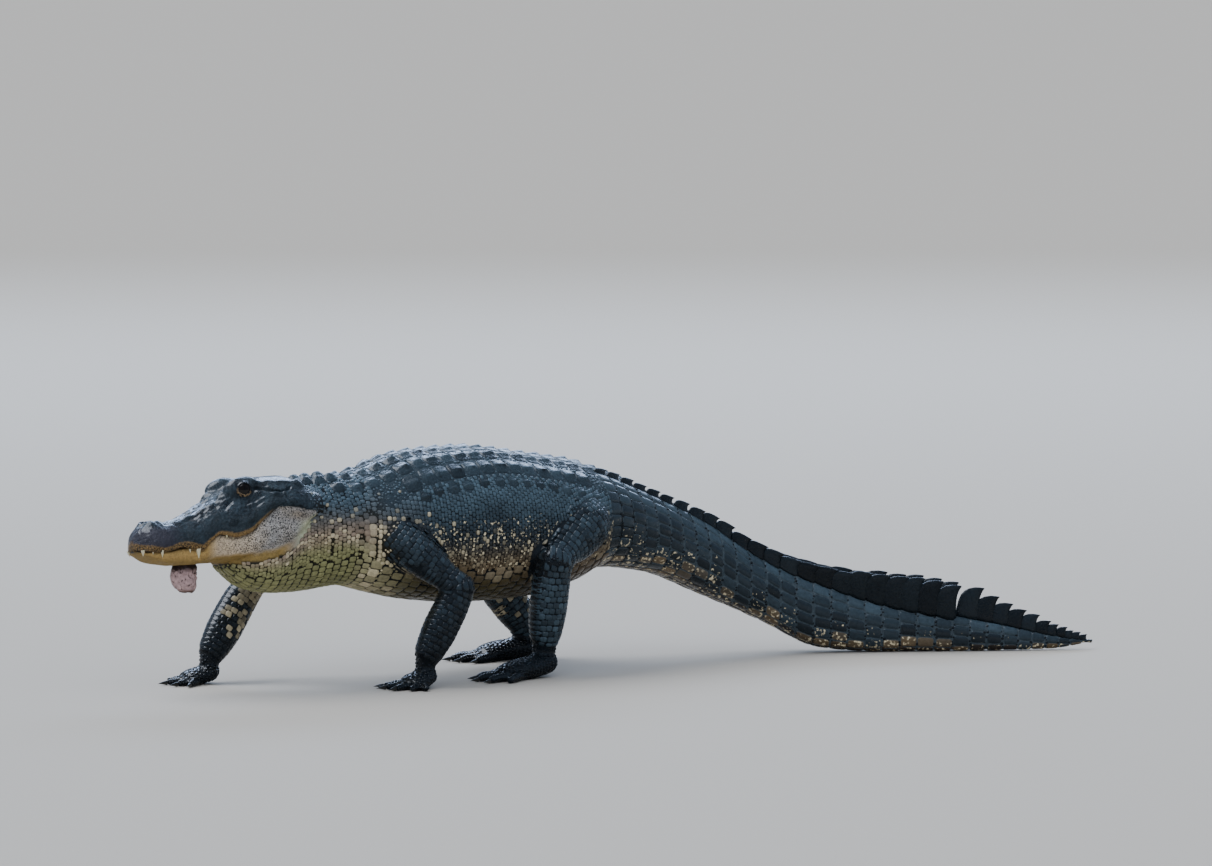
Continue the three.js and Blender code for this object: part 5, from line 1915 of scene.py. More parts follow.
class Markings:
    """Colours of the skin: the head's markings with painted sheen and painted shade, and dark folds
    elsewhere.
    """

    def __init__(self, head: Head) -> None:
        """Keeps the head's profile, which the markings follow."""
        self.curve = head.curve

    def head_tint(self, at: Array, side: Array, height: Array, points: Array) -> Array:
        """Colours of the head's skin, with painted sheen patches and painted shade along the mouth.

        Args:
            at: Distance ahead of the back of the skull.
            side: Distance to the animal's right.
            height: Height on the head.
            points: The same places in the row frame.

        Returns:
            Tint and share of dark specks.
        """
        mouth, jaw = self.curve["mouth"](at), self.curve["jaw"](at)
        cloud, fine = mottle(points, 0.022), mottle(points, 0.0036)
        over = height - mouth
        # Painted sheen: random patches lightened towards the blue-grey of the sky's reflection.
        sheen_patches = np.clip(0.9 * cloud + 1.2 * fine - 0.75, 0, 1)
        dark = mix(Tone.BLUE_BLACK, Tone.FLANK_BLUE, sheen_patches)
        cheek = smoothstep(at, 0.03, 0.10) * fall(over, 0.02, 0.05)
        dark = mix(dark, Tone.GREY_GREEN, 0.4 * cheek)
        plum = smoothstep(at, 0.235, 0.285) * fall(over, 0.036, 0.052) * 0.8
        upper = mix(dark, Tone.SNOUT_PLUM, plum)
        band = smooth_curve(*np.array(LIP_BAND).T)(at) * (0.8 + 0.4 * fine)
        lip = fall(over / np.maximum(band, 1e-4), 0.80, 1.10)
        dull = fall(at, 0.085, 0.150)[:, None]
        ochre_lip = tone(Tone.LIP_OCHRE) * (1 - 0.6 * dull) + tone(Tone.TAN) * 0.45 * dull
        upper = mix(upper, ochre_lip, lip * smoothstep(at, 0.066, 0.105))
        low = height - jaw
        depth = low / np.maximum(mouth - jaw, 1e-3)
        edge = fall(low + 0.008 * (cloud - 0.5), 0.006, 0.017)
        ochre = np.maximum(smoothstep(at, 0.165, 0.205), edge * smoothstep(at, 0.015, 0.06))
        ochre = np.maximum(ochre, 0.25 * smoothstep(at, 0.12, 0.17))
        grey = mix(Tone.JOWL_GREY, Tone.JOWL_PALE, 0.8 * cloud)
        grey = grey * (0.72 + 0.5 * mottle(points, 0.009))[:, None]
        pink = smoothstep(at + 0.03 * (cloud - 0.5), 0.075, 0.130)
        grey = mix(grey, Tone.JAW_PINK, 0.85 * pink)
        rear = fall(at, 0.012, 0.040) * fall(depth, 0.45, 0.75)
        corner = np.exp(-(((at - 0.03) / 0.03) ** 2) - ((height - 0.322) / 0.012) ** 2)
        grey = mix(mix(grey, Tone.JOWL_YELLOW, rear), Tone.TAN, 0.7 * corner)
        olive = fall(depth, 0.1, 0.5) * 0.5 * ochre
        lower = mix(mix(grey, Tone.JAW_OCHRE, ochre), Tone.OLIVE, olive)
        front = smoothstep(at, 0.20, 0.24)
        speck = np.where(over > 0, 0.22 + 0.28 * lip * (0.7 + 0.3 * front), 0.46 - 0.20 * ochre)
        speck = speck + 0.10 * (cloud - 0.5) * (over <= 0) - 0.16 * rear
        colour = np.where((over < 0.0)[:, None], lower, upper)
        shadow = np.exp(-(((over + 0.001) / 0.0022) ** 2)) * smoothstep(at, 0.055, 0.09)
        shadow *= 0.65 + 0.35 * smoothstep(at, 0.19, 0.22)
        colour = mix(colour, Tone.SEAM, 0.75 * shadow)
        # Painted shade: the mouth's slit is filled with near black.
        slit = (np.abs(over) < 0.003) & (at > 0.06)
        colour[slit & (np.abs(side) < self.curve["half"](at) - 0.0075)] = tone(Tone.SEAM)
        for spot, radius, name in SCARS:
            gap = np.linalg.norm(np.stack([at, side, height], 1) - np.array(spot), axis=1)
            share = fall(gap + 0.002 * (fine - 0.5), 0.7 * radius, radius)
            colour = mix(colour, name, share)
        return np.column_stack([colour, speck])

    def paint_skin(self, skin: Item) -> None:
        """Colours every point of the skin: the head's markings, and dark folds elsewhere, lightened
        with painted sheen on the upper trunk.
        """
        points = vertex_points(skin)
        at, side, height = head_axes(points)
        x = points[:, 0] - HIP[0]
        fold = mix(Tone.SEAM, Tone.SLATE, 0.6 * mottle(points, 0.03))
        fold = mix(fold, Tone.TAIL_SEAM, 0.5 * smoothstep(x, 0.02, 0.10))
        trunk = smoothstep(x, -0.60, -0.54) * fall(x, 0.05, 0.12)
        # Painted sheen: folds high on the trunk are lightened towards the sky's blue-grey reflection.
        fold = mix(fold, Tone.FLANK_BLUE, 0.6 * (trunk * smoothstep(height, 0.29, 0.34)))
        throat = fall(x, -0.57, -0.53) * (height > 0.20)
        throat = throat * fall(height, 0.30, 0.36)
        fold = mix(fold, Tone.OLIVE, 0.12 * throat)
        tints = np.column_stack([fold, np.zeros(len(points))])
        is_head = (at > -0.012) & (np.abs(side) < 0.13)
        is_head &= ~((height < self.curve["jaw"](at) - 0.004) & (at < 0.165))
        chosen = np.nonzero(is_head)[0]
        tints[chosen] = self.head_tint(at[chosen], side[chosen], height[chosen], points[chosen])
        set_tint(skin, tints)


def head_axes(points: Array) -> tuple[Array, Array, Array]:
    """Distance along, side and height on the head, of places in the row frame."""
    x = points[:, 0] - HIP[0] - HEAD_BACK[0]
    y = points[:, 1] - HIP[1] - HEAD_BACK[1]
    z = points[:, 2] - ROLL_HEIGHT
    c, s = math.cos(HEAD_TURN), math.sin(HEAD_TURN)
    at, out = -c * x + s * y, s * x + c * y
    side = out * math.cos(HEAD_ROLL) - z * math.sin(HEAD_ROLL)
    rise = out * math.sin(HEAD_ROLL) + z * math.cos(HEAD_ROLL)
    return at, side, ROLL_HEIGHT + rise


@dataclass(frozen=True)
class Zone:
    """A field of scales on a sheet: where it lies and how large its scales are."""

    start: float
    end: float
    step: float
    low: Callable[[Array], Array]
    high: Callable[[Array], Array]
    width: float
    height: float
    shape: Shape
    fill: float = 0.96
    jitter: float = 0.10
    spacing: float = 0.0
    limit: float = 0.007
    tilt: float = 0.0


class HideCoat:
    """Scales and plates over the skin, one piece for each part of the animal."""

    # Plates of the nape: place along, distance from the midline, and size.
    NAPE = (
        (-0.705, 0.028, 0.62), (-0.678, 0.020, 0.95), (-0.652, 0.024, 1.0), (-0.627, 0.054, 0.9),
        (-0.627, 0.019, 1.0),
    )
    # Files of plates on each side of the back, in pitches from the midline.
    BACK_FILES = (0.5, 1.5, 2.5)
    # Length, width and height of the plates of back and nape.
    BACK_PLATE = (0.0358, 0.0415, 0.0070)
    NAPE_PLATE = (0.036, 0.034, 0.0130)
    # Gap in the crest where its two rows become one.
    FORK_GAP = 0.011
    RUMP_ROWS = 3
    # Mean size of a granule, and how many are tried.
    GRANULE = 0.0056
    GRANULE_TRIES = 60000
    # Width of a scute of the tail, and steps between the platelets in front of a leg and the
    # scales on a digit.
    SCUTE_WIDTH = 0.0205
    SHIN_STEP = 0.0102
    DIGIT_STEP = 0.0062

    def __init__(
        self, midline: Midline, body: Surface, limbs: Sequence[Limb], probe: SkinProbe
    ) -> None:
        """Keeps the sheets that the coat is laid on."""
        self.midline = midline
        self.body = body
        self.limbs = limbs
        self.probe = probe
        self.random = np.random.default_rng(SEED)
        self.crest_start = midline.place_at_x(BACK_FIRST_X) + BACK_ROW_COUNT * ROW_STEP
        self.fork = midline.place_at_x(FORK_X)

    def draw(self, low: float, high: float, count: int) -> Array:
        """Random numbers from low to high."""
        return self.random.uniform(low, high, count)

    def crest_side(self, half: Array) -> Array:
        """Distance of the crest's two rows from the midline, where the body is so wide."""
        return np.maximum(half * 0.5, 0.008)

    def vary(self, count: int, amount: float) -> Array:
        """Factors near one, one for each scale."""
        return 1 + amount * self.draw(-1, 1, count)

    def shade(self, colours: Array, amount: float = 0.18) -> Array:
        """Colours made a little lighter or darker, scale by scale."""
        return colours * self.vary(len(colours), amount)[:, None]

    def rows(self, zone: Zone) -> tuple[Array, Array]:
        """Staggered rows of roots on one side, as distance along and round.

        Args:
            zone: The field.

        Returns:
            Distance along and distance round from the front or back line.
        """
        along, around = [], []
        for number, u in enumerate(np.arange(zone.start, zone.end, zone.step)):
            low, high = float(zone.low(u)), float(zone.high(u))
            count = int(round((high - low) / zone.width))
            if count < 1:
                continue
            offset = 0.5 if number % 2 else 0.0
            places = low + (np.arange(count + 1) - offset + 0.5) * (high - low) / count
            places = places[(places > low) & (places < high + 0.2 * zone.width)]
            along.append(np.full(len(places), u))
            around.append(places)
        if not along:
            return np.zeros(0), np.zeros(0)
        return np.concatenate(along), np.concatenate(around)

    def lay_zone(self, coat: Coat, surface: Surface, zone: Zone, paint: Callable[..., Array]) -> None:
        """Lays a field of scales on both sides of a sheet.

        Args:
            coat: The piece that the scales go to.
            surface: The sheet.
            zone: The field.
            paint: Gives the tint from distance along, share round and root.
        """
        for side in Side:
            u, around = self.rows(zone)
            if not len(u):
                continue
            u = u + zone.jitter * zone.step * self.draw(-1, 1, len(u))
            around = around + zone.jitter * zone.width * self.draw(-1, 1, len(u))
            share = around / surface.girth_at(u)
            inside = share <= 1.0
            u, share = u[inside], share[inside]
            roots, _ = surface.sample(u, side.value * share)
            count = len(u)
            coat.lay(
                zone.shape, surface, u, side.value * share,
                zone.step * zone.fill * self.vary(count, zone.jitter),
                zone.width * zone.fill * self.vary(count, zone.jitter),
                zone.height * self.vary(count, 0.2), paint(u, share, roots), zone.limit, zone.spacing,
                zone.tilt,
            )

    def back_tint(self, count: int, low: float = 0.30, high: float = 0.90) -> Array:
        """Tints of the plates along the back: near black, mixed at random with a painted blue-grey
        sheen.
        """
        # Painted sheen: each plate mixes a random share of the sky's blue-grey reflection.
        share = self.draw(low, high, count)[:, None]
        colour = tone(Tone.BLUE_BLACK) * (1 - share) + tone(Tone.FLANK_BLUE) * share
        return np.column_stack([self.shade(colour), np.full(count, 0.36)])

    def body_tint(self, u: Array, share: Array, roots: Array) -> Array:
        """Tints of neck, flank and belly scales, with painted sheen high on the flanks and painted
        shade on throat and belly.

        Args:
            u: Distance along.
            share: Way round from the back at 0 to the belly at 1.
            roots: The roots' places.

        Returns:
            Colour and accent share of each scale.
        """
        count, station = len(u), self.midline.station
        nape = station["nape"]
        cloud = mottle(roots, 0.06)
        # Painted sheen: scales high on the flanks are lightened towards the sky's blue-grey reflection.
        sheen = 0.30 + 1.05 * fall(share + 0.15 * (cloud - 0.5), 0.36, 0.54)
        dark = mix(Tone.BLUE_BLACK, Tone.FLANK_BLUE, sheen * (0.7 + 0.6 * cloud))
        front = fall(u, nape, station["shoulder"])
        rear = smoothstep(u, station["ribs"], station["loin"])
        # Throat and belly tones carry painted shade, as they lie under the body.
        under = mix(mix(Tone.BELLY, Tone.THROAT, front), Tone.BELLY_REAR, rear)
        pale = front * smoothstep(u, nape - 0.01, nape + 0.05)
        under = mix(under, 0.85 * tone(Tone.CREAM), 0.45 * pale)
        turn = 0.70 - 0.17 * front
        low = smoothstep(share + 0.12 * (cloud - 0.5), turn - 0.06, turn + 0.06)
        tan = np.exp(-(((share - turn + 0.04) / 0.07) ** 2))
        neck = front * smoothstep(share + 0.2 * (cloud - 0.5), 0.24, 0.44)
        colour = mix(mix(dark, Tone.NECK_GREY, 0.85 * neck), under, low)
        colour = mix(colour, mix(Tone.TAN, Tone.NECK_PEACH, front), 0.6 * tan)
        chest = front * smoothstep(u, nape + 0.01, nape + 0.06)
        chest = chest * smoothstep(share + 0.1 * (cloud - 0.5), 0.40, 0.50)
        chance = 0.004 + 0.36 * smoothstep(share, 0.40, turn) ** 1.5 * (1 - low)
        chance = chance + 0.20 * neck * (1 - low) + 0.75 * chest
        cream = self.draw(0, 1, count) < chance
        fade = self.draw(0.08, 0.75, count)
        fade = (fade + (self.draw(0.4, 0.95, count) - fade) * chest)[cream, None]
        fade = fade * (1 - 0.65 * smoothstep(share, 0.58, 0.64) * (1 - front))[cream, None]
        bright = (0.88 + 0.27 * chest)[cream, None]
        colour[cream] = colour[cream] * (1 - fade) + bright * tone(Tone.CREAM) * fade
        accent = 0.41 * (1 - low) * smoothstep(share, 0.28, 0.52) * (1 - 0.4 * front)
        return np.column_stack([self.shade(colour), np.where(cream, 0.0, accent)])

    def tail_tint(self, share: Array) -> Array:
        """Tints of the tail's whorls: dark with a painted sheen above, blotched with ochre and brown
        below.
        """
        count = len(share)
        # Painted sheen: a random share of blue-grey reflection, more on the upper scutes.
        sheen = self.draw(0.1, 0.5, count) + 0.5 * fall(share, 0.22, 0.45)
        dark = mix(Tone.BLUE_BLACK, Tone.FLANK_BLUE, sheen)
        colour = mix(dark, Tone.TAIL_BROWN, smoothstep(share, 0.74, 0.92))
        chance = 0.65 * np.exp(-(((share - 0.76) / 0.09) ** 2))
        blotch = self.draw(0, 1, count) < chance
        blotch = blotch * self.draw(0.2, 0.7, count)
        colour = mix(colour, 0.9 * tone(Tone.TAN), blotch)
        spotted = self.draw(0, 1, count) < 0.15 + 0.65 * smoothstep(share, 0.4, 0.8)
        accent = 0.22 + 0.19 * spotted * smoothstep(share, 0.30, 0.75)
        return np.column_stack([self.shade(colour), accent])

    def leg_tint(self, limb: Limb) -> Callable[..., Array]:
        """Tints of leg scales: near black with a painted sheen, with pale ones where the leg faces the
        body.

        Args:
            limb: The leg.

        Returns:
            A function that gives the tint from distance along, share and roots.
        """
        middle = limb.leg.points.mean(axis=1)
        # Painted sheen on the leg scales: on the forelegs it fades down the leg as painted shade, on
        # the hind legs it grows on the shank.
        sheen_fade, shank_sheen = (0.95, 0.0) if limb.sizes is FORE else (0.25, 0.32)

        def paint(u: Array, share: Array, roots: Array) -> Array:
            """Colour and accent share of each scale."""
            axis = np.stack([np.interp(u, limb.leg.along, middle[:, k]) for k in range(3)], 1)
            inward = -(roots - axis)[:, 1] * limb.plan.side.value
            along = u / limb.leg.length
            inner = smoothstep(inward, 0.000, 0.012) * fall(along, 0.75, 0.95)
            sheen = self.draw(0.10, 0.75, len(u)) * (1 - sheen_fade * along)
            sheen = sheen + shank_sheen * smoothstep(along, 0.45, 0.70)
            dark = mix(Tone.BLUE_BLACK, Tone.FLANK_BLUE, sheen)
            chance = inner * (1.1 - 0.70 * smoothstep(along, 0.35, 0.95))
            pale = self.draw(0, 1, len(u)) < chance
            fade = pale * self.draw(0.40, 1.0, len(u))
            colour = mix(dark, tone(Tone.CREAM) * 0.62, fade)
            return np.column_stack([self.shade(colour, 0.3), np.where(pale, 0.0, 0.20)])

        return paint

    def foot_tint(self, u: Array, share: Array, roots: Array) -> Array:
        """Tints of the scales of the feet, near black all over."""
        dark = np.tile(tone(Tone.BLUE_BLACK), (len(u), 1))
        return np.column_stack([self.shade(dark, 0.3), np.full(len(u), 0.1)])

    def plates(self) -> Item:
        """Keeled plates of nape and back, in rows across the body."""
        coat = Coat("plates_of_the_back", self.probe, [self.body], rim_share=0.3)
        girth = self.body.girth_at
        for x, around, share in self.NAPE:
            u = np.full(2, self.midline.place_at_x(x)) + 0.002 * self.draw(-1, 1, 2)
            turn = np.array([-1.0, 1.0]) * around / girth(u)
            length, width, height = self.NAPE_PLATE
            size = 0.75 + 0.25 * share
            coat.lay(
                KNOB, self.body, u, turn, length * size, width * size, height * share,
                self.back_tint(2), 0.012,
            )
        start = self.midline.place_at_x(BACK_FIRST_X)
        length, width, height = self.BACK_PLATE
        for row in range(BACK_ROW_COUNT):
            narrow = row < 3 or row == BACK_ROW_COUNT - 1
            files = np.array(self.BACK_FILES[:-1] if narrow else self.BACK_FILES)
            around = np.concatenate([-files[::-1], files]) * BACK_PITCH
            count, size = len(around), 0.86 if row < 3 else 1.0
            u = start + row * ROW_STEP + 0.0015 * self.draw(-1, 1, count)
            coat.lay(
                KEELED, self.body, u, around / girth(u), length * size * self.vary(count, 0.04),
                width * size * self.vary(count, 0.04),
                height * self.vary(count, 0.15) * (1 - 0.1 * np.abs(around) / 0.1),
                self.back_tint(count),
            )
            if not narrow:
                side = np.array([-1.0, 1.0]) * (3.5 * BACK_PITCH - 0.005)
                v = start + (row + 0.35) * ROW_STEP + 0.003 * self.draw(-1, 1, 2)
                coat.lay(
                    KEELED, self.body, v, side / girth(v), 0.024 * self.vary(2, 0.15),
                    0.024 * self.vary(2, 0.15), 0.0055 * self.vary(2, 0.2), self.back_tint(2),
                )
        for row in range(self.RUMP_ROWS):
            u = np.full(2, self.crest_start + row * ROW_STEP)
            round_ = self.crest_side(self.midline.curve["half"](u)) - 0.031
            coat.lay(
                KEELED, self.body, u, np.array([1.0, -1.0]) * round_ / girth(u), 0.033, 0.028, 0.006,
                self.back_tint(2),
            )
        return coat.finish()

    def crest(self) -> Item:
        """Upright crest of the tail: two rows of leaves as far as the fork, then one row."""
        coat = Coat("crest_of_the_tail", self.probe, [self.body], rim_share=0.3)
        at = self.crest_start
        while at < self.midline.length - 0.014:
            half = float(self.midline.curve["half"](at))
            height = float(self.midline.curve["crest"](at))
            length = ROW_STEP * (0.90 + 0.56 * smoothstep(height, 0.012, 0.034))
            if at < self.fork:
                around = np.array([-1.0, 1.0]) * self.crest_side(half)
                width = 0.013 + half * 0.12
            else:
                around, width = np.array([0.0]), min(0.012, half * 1.3)
                length = length * max(0.62, 1 - (at - self.fork) * 1.6)
            count = len(around)
            u = at + 0.002 * self.draw(-1, 1, count)
            coat.lay(
                CREST_LEAF, self.body, u, around / self.body.girth_at(u), length, width,
                height * self.vary(count, 0.06), self.back_tint(count, 0.0, 0.15), 0.012,
                upright=2.0 if count > 1 else 1.0,
            )
            step = ROW_STEP if at < self.fork else length * 0.68
            at += step + (self.FORK_GAP if at < self.fork <= at + step else 0.0)
        return coat.finish()

    def fields(self, name: str, rim_share: float, zones: Sequence[Zone]) -> Item:
        """One piece of the body's coat, made of fields of scales."""
        coat = Coat(name, self.probe, [self.body], rim_share=rim_share)
        for zone in zones:
            self.lay_zone(coat, self.body, zone, self.body_tint)
        return coat.finish()

    def flanks(self) -> Item:
        """Bead-like scales of the flanks, between the back plates and the belly."""
        girth = self.body.girth_at
        fore, rear = self.midline.station["shoulder front"] - 0.02, self.crest_start - 0.01
        zone = Zone(
            fore, rear, 0.0074, lambda u: 0.122, lambda u: 0.665 * girth(u), 0.0092, 0.0019, BEAD,
            spacing=0.70, jitter=0.08, fill=1.10,
        )
        return self.fields("scales_of_the_flanks", 0.8, [zone])

    def belly(self) -> Item:
        """Flat, nearly square shields of chest and belly."""
        girth, fore = self.body.girth_at, self.midline.station["shoulder front"] - 0.022
        zone = Zone(
            fore, self.crest_start, 0.0215, lambda u: 0.655 * girth(u), girth, 0.0195, 0.0018, TILE,
            spacing=0.6, jitter=0.05, fill=0.96, tilt=0.3,
        )
        return self.fields("shields_of_the_belly", 0.8, [zone])

    def throat(self) -> Item:
        """Scales of neck and throat: beads above, rows of oblong shields below."""
        girth, station = self.body.girth_at, self.midline.station
        end = station["shoulder front"] - 0.024
        zones = [
            Zone(
                0.012, end, 0.0152, lambda u: 0.64 * girth(u), girth, 0.0122, 0.0019, TILE, spacing=0.6,
                jitter=0.035, fill=0.93, limit=0.006, tilt=0.3,
            )
        ]
        neck, nape = station["skull back"] + 0.045, station["nape"] + 0.012
        for start, stop, size, low, high, shape in (
            (0.020, neck, 0.0070, 0.0, 0.64, BEAD), (neck, nape, 0.0088, 0.0, 0.64, BEAD),
            (nape, end, 0.0092, 0.0, 0.36, BEAD), (nape, nape + 0.022, 0.0112, 0.36, 0.64, BEAD),
            (nape + 0.022, end, 0.0142, 0.36, 0.64, ROUND_TILE),
        ):
            beads = Zone(
                start, stop, size, lambda u, k=low: k * girth(u), lambda u, k=high: k * girth(u),
                size * 0.96, 0.0021, shape, spacing=0.70, jitter=0.14, fill=1.12, limit=0.008,
            )
            zones.append(beads)
        return self.fields("scales_of_neck_and_throat", 0.6, zones)

    def granules(self, skin: Item) -> Item:
        """Small granules on all skin that the larger scales leave bare.

        Args:
            skin: The finished skin.

        Returns:
            The piece.
        """
        coat = Coat("granules_between_scales", self.probe, [self.body], rim_share=0.7)
        mesh = skin.data
        mesh.calc_loop_triangles()
        corners = np.empty(len(mesh.loop_triangles) * 3, np.int32)
        mesh.loop_triangles.foreach_get("vertices", corners)
        corner = vertex_points(skin)[corners.reshape(-1, 3)]
        normal = np.cross(corner[:, 1] - corner[:, 0], corner[:, 2] - corner[:, 0])
        area = np.linalg.norm(normal, axis=1)
        chosen = self.random.choice(len(area), self.GRANULE_TRIES, p=area / area.sum())
        share = self.random.dirichlet((1, 1, 1), self.GRANULE_TRIES)
        places = (corner[chosen] * share[..., None]).sum(axis=1)
        normals = unit(normal[chosen])
        bare = ~self.probe.on_head(places) & (places[:, 2] > 0.006)
        places, normals = places[bare], normals[bare]
        size = self.GRANULE * self.vary(len(places), 0.25)
        free = self.probe.free(places, size, 0.94)
        places, normals, size = places[free], normals[free], size[free]
        kept = self.thin_out(places, size)
        places, normals, size = places[kept], normals[kept], size[kept]
        u, turn = self.body.locate(places)
        tint = self.body_tint(u, np.abs(turn), places)
        near, _ = self.body.sample(u, turn)
        dark = np.array([*tone(Tone.BLUE_BLACK), 0.2])
        tint = mix(tint, dark, smoothstep(np.linalg.norm(near - places, axis=1), 0.012, 0.030))
        tail = smoothstep(u, self.crest_start - 0.02, self.crest_start + 0.02)
        tint = mix(tint, dark, tail * (np.abs(turn) < 0.8))
        along = unit(REARWARD - normals * (normals @ REARWARD)[:, None])
        sizes = np.stack([size * 1.1, size * 0.95, size * 0.26], axis=1)
        coat.place(PEBBLE, self.body, places, along, normals, sizes, tint)
        return coat.finish()

    def thin_out(self, places: Array, size: Array) -> Array:
        """Keeps places one after the other that stand clear of those kept before."""
        tree = point_tree(places)
        kept = np.zeros(len(places), bool)
        for i, place in enumerate(places):
            near = tree.find_range(Vector(place), 0.96 * size[i])
            kept[i] = not any(kept[number] for _, number, _ in near)
        return kept

    def tail(self) -> Item:
        """Whorls of square scutes round the tail."""
        coat = Coat("whorls_of_the_tail", self.probe, [self.body], Tone.TAIL_SEAM, 0.8)
        at = self.crest_start
        while at < self.body.length - 0.012:
            girth = float(self.body.girth_at(at))
            half = float(self.midline.curve["half"](at))
            edge = self.crest_side(half) + 0.008 if at < self.fork else 0.006
            edge = min(edge, 0.3 * girth)
            step = ROW_STEP if at < self.fork else max(0.5, 1 - (at - self.fork) * 1.4) * ROW_STEP
            count = int(np.clip(round((girth - edge) / self.SCUTE_WIDTH), 2, 12))
            wide = (girth - edge) / count
            share = (edge + (np.arange(count) + 0.5) * wide) / girth
            for side in Side:
                u = at + 0.0012 * self.draw(-1, 1, count)
                coat.lay(
                    SCUTE, self.body, u, side.value * share, step * 0.97, wide * 0.95,
                    0.0019 * self.vary(count, 0.2), self.tail_tint(share), 0.008, tilt=0.15,
                )
            at += step
        return coat.finish()

    def legs(self, name: str, sizes: LimbSizes) -> Item:
        """Scales of a pair of legs with their feet and digits."""
        limbs = [limb for limb in self.limbs if limb.sizes is sizes]
        sheets = [s for limb in limbs for s in (limb.leg, limb.pad, *limb.digits)]
        coat = Coat(name, self.probe, sheets)
        for limb in limbs:
            paint = self.leg_tint(limb)
            u = np.arange(0.30 * limb.leg.length, limb.leg.length - 0.004, self.SHIN_STEP)
            front = np.zeros(len(u))
            roots, _ = limb.leg.sample(u, front)
            coat.lay(
                PLATELET, limb.leg, u, front, 0.0104, 0.52 * limb.leg.girth_at(u), 0.0010,
                paint(u, front, roots), 0.010,
            )
            zone = Zone(
                0.010, limb.leg.length, 0.0112, lambda u: 0.0, limb.leg.girth_at, 0.0122, 0.0012,
                PLATELET, spacing=0.80, jitter=0.08, fill=1.04, limit=0.010,
            )
            self.lay_zone(coat, limb.leg, zone, paint)
            zone = Zone(
                0.004, limb.pad.length - 0.004, 0.0080, lambda u: 0.0, limb.pad.girth_at, 0.0080,
                0.0014, PEBBLE, spacing=0.8, jitter=0.14, fill=0.98, limit=0.004,
            )
            self.lay_zone(coat, limb.pad, zone, self.foot_tint)
            for digit in limb.digits:
                u = np.arange(0.3 * digit.length, digit.length - 0.002, self.DIGIT_STEP)
                for share, wide in ((0.0, 0.62), (0.5, 0.34), (-0.5, 0.34)):
                    turn = np.full(len(u), share)
                    coat.lay(
                        PEBBLE, digit, u, turn, self.DIGIT_STEP, wide * digit.girth_at(u), 0.0010,
                        self.foot_tint(u, turn, u), 0.004, 0.5,
                    )
        return coat.finish()


class Studio:
    """Pale floor, soft lights and the camera at the photograph's angle."""

    CAMERA_PLACE = (-11.6821, -14.9834, 2.0307)
    CAMERA_AIM = (0.61354, 0.78529, -0.08304)
    LENS = 300.0
    SENSOR = 36.0
    DAYLIGHT = "#eef4ff"
    SKYLIGHT = "#c3daff"
    AMBIENT = "#b4cbea"

    def build(self) -> None:
        """Builds floor, lights and camera."""
        bpy.ops.object.select_all(action="DESELECT")
        bpy.ops.mesh.primitive_plane_add(size=160.0, location=(0.0, 0.0, 0.0))
        floor = bpy.context.object
        floor.name = "studio_floor"
        floor.data.materials.append(FLOOR_FINISH.material())
        self._sky("far sky", (-0.35, 0.50, 1.0), 3.2, 46.0)
        self._sky("near sky", (-0.45, -0.75, 1.3), 1.3, 110.0).visible_glossy = False
        self._sky("open shade", (-0.45, -0.85, 1.0), 0.9, 60.0).visible_glossy = False
        self._softbox("rim softbox", (5.6, 7.2, 5.4), (0.0, 0.0, 0.2), (9.0, 3.0), 700.0)
        world = bpy.data.worlds.new("soft studio light")
        world.use_nodes = True
        background = world.node_tree.nodes["Background"]
        background.inputs["Color"].default_value = linear(self.AMBIENT)
        background.inputs["Strength"].default_value = 0.42
        bpy.context.scene.world = world
        lens = bpy.data.cameras.new("photo camera")
        lens.lens, lens.sensor_width = self.LENS, self.SENSOR
        lens.clip_start, lens.clip_end = 1.0, 400.0
        camera = bpy.data.objects.new("photo camera", lens)
        camera.location = self.CAMERA_PLACE
        camera.rotation_euler = Vector(self.CAMERA_AIM).to_track_quat("-Z", "Y").to_euler()
        bpy.context.scene.collection.objects.link(camera)
        bpy.context.scene.camera = camera

    def _lamp(self, name: str, kind: str, power: float, colour: str, aim: Vector) -> Item:
        """Adds a lamp that shines one way.

        Args:
            name: Its name.
            kind: Blender's name of the kind of lamp.
            power: Its strength, or for an area its power in watts.
            colour: Its colour as sRGB hex.
            aim: Direction that it shines in.

        Returns:
            The lamp.
        """
        lamp = bpy.data.lights.new(name, kind)
        lamp.energy, lamp.color = power, linear(colour)[:3]
        item = bpy.data.objects.new(name, lamp)
        item.rotation_euler = aim.to_track_quat("-Z", "Y").to_euler()
        bpy.context.scene.collection.objects.link(item)
        return item

    def _sky(self, name: str, source: Triple, power: float, spread: float) -> Item:
        """Adds soft daylight from one part of the sky, as wide as an angle in degrees."""
        item = self._lamp(name, "SUN", power, self.DAYLIGHT, -Vector(source))
        item.data.angle = math.radians(spread)
        return item

    def _softbox(
        self, name: str, place: Triple, aim: Triple, size: tuple[float, float], power: float
    ) -> None:
        """Adds an oblong softbox that faces a point and stays out of the picture."""
        item = self._lamp(name, "AREA", power, self.SKYLIGHT, Vector(aim) - Vector(place))
        item.location = place
        item.visible_camera = False
        item.data.shape = "RECTANGLE"
        item.data.size, item.data.size_y = size


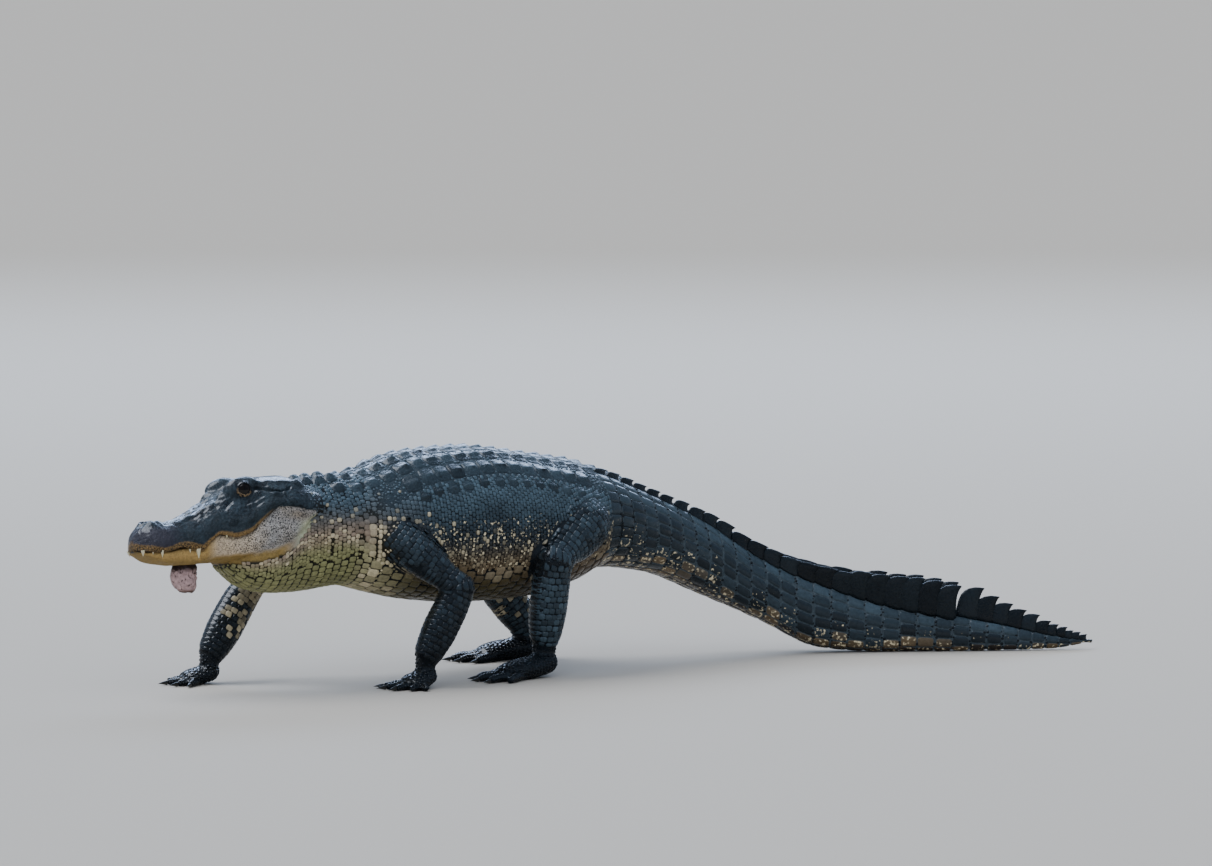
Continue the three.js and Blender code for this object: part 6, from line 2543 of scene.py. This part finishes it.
def main() -> None:
    """Builds every piece in order and reports each one."""
    logging.basicConfig(level=logging.INFO, format="%(message)s")
    midline = Midline()
    head = Head()
    body = midline.surface(-COAT_DEPTH)
    limbs = [Limb(plan) for plan in LIMBS]
    skin = Skin(body, limbs, head).build()
    Markings(head).paint_skin(skin)
    bare = ("eye_", "claw_", "throat_growth")
    flesh = [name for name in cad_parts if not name.startswith(bare)]
    settle_piece(skin, SKIN_FINISH.material(), flesh)
    coat = HideCoat(midline, body, limbs, SkinProbe(skin, head))
    scale, plate = SCALE_FINISH.material(), PLATE_FINISH.material()
    settle_piece(coat.plates(), plate)
    settle_piece(coat.crest(), plate)
    settle_piece(coat.tail(), scale)
    settle_piece(coat.throat(), scale)
    settle_piece(coat.belly(), scale)
    settle_piece(coat.flanks(), scale)
    settle_piece(coat.legs("scales_of_the_forelegs", FORE), scale)
    settle_piece(coat.legs("scales_of_the_hind_legs", HIND), scale)
    settle_piece(coat.granules(skin), scale)
    eye_material = EYE_FINISH.material()
    for side in Side:
        eye, name = Eye(side), side.name.lower()
        settle_piece(eye.ball(), eye_material, [f"eye_{name}"])
        settle_piece(eye.lids(), SKIN_FINISH.material())
    settle_piece(Teeth().build(head), TOOTH_FINISH.material())
    settle_piece(Growth().build(), FLESH_FINISH.material(), ["throat_growth"])
    claw_material = CLAW_FINISH.material()
    pattern = HornPlan("claw", 0.0200, 0.0046, 0.42, 0.8, steps=9, taper=1.25).model()
    for limb in limbs:
        part = "hand" if limb.sizes is FORE else "foot"
        name = limb.plan.side.name.lower()
        for number, (place, away) in enumerate(limb.claws, 1):
            title = f"{part}_{name}_{number}"
            raised = unit(away) + CLAW_RISE * UP
            claw = copy_to(pattern, f"claw_horn_{title}", place, raised, UP, 1.0)
            lift = max(0.0, FLOOR_CLEAR - vertex_points(claw)[:, 2].min())
            claw.data.transform(Matrix.Translation((0.0, 0.0, lift)))
            settle_piece(claw, claw_material, [f"claw_{title}"])
    bpy.data.objects.remove(pattern, do_unlink=True)
    Studio().build()


if __name__ == "__main__":
    main()
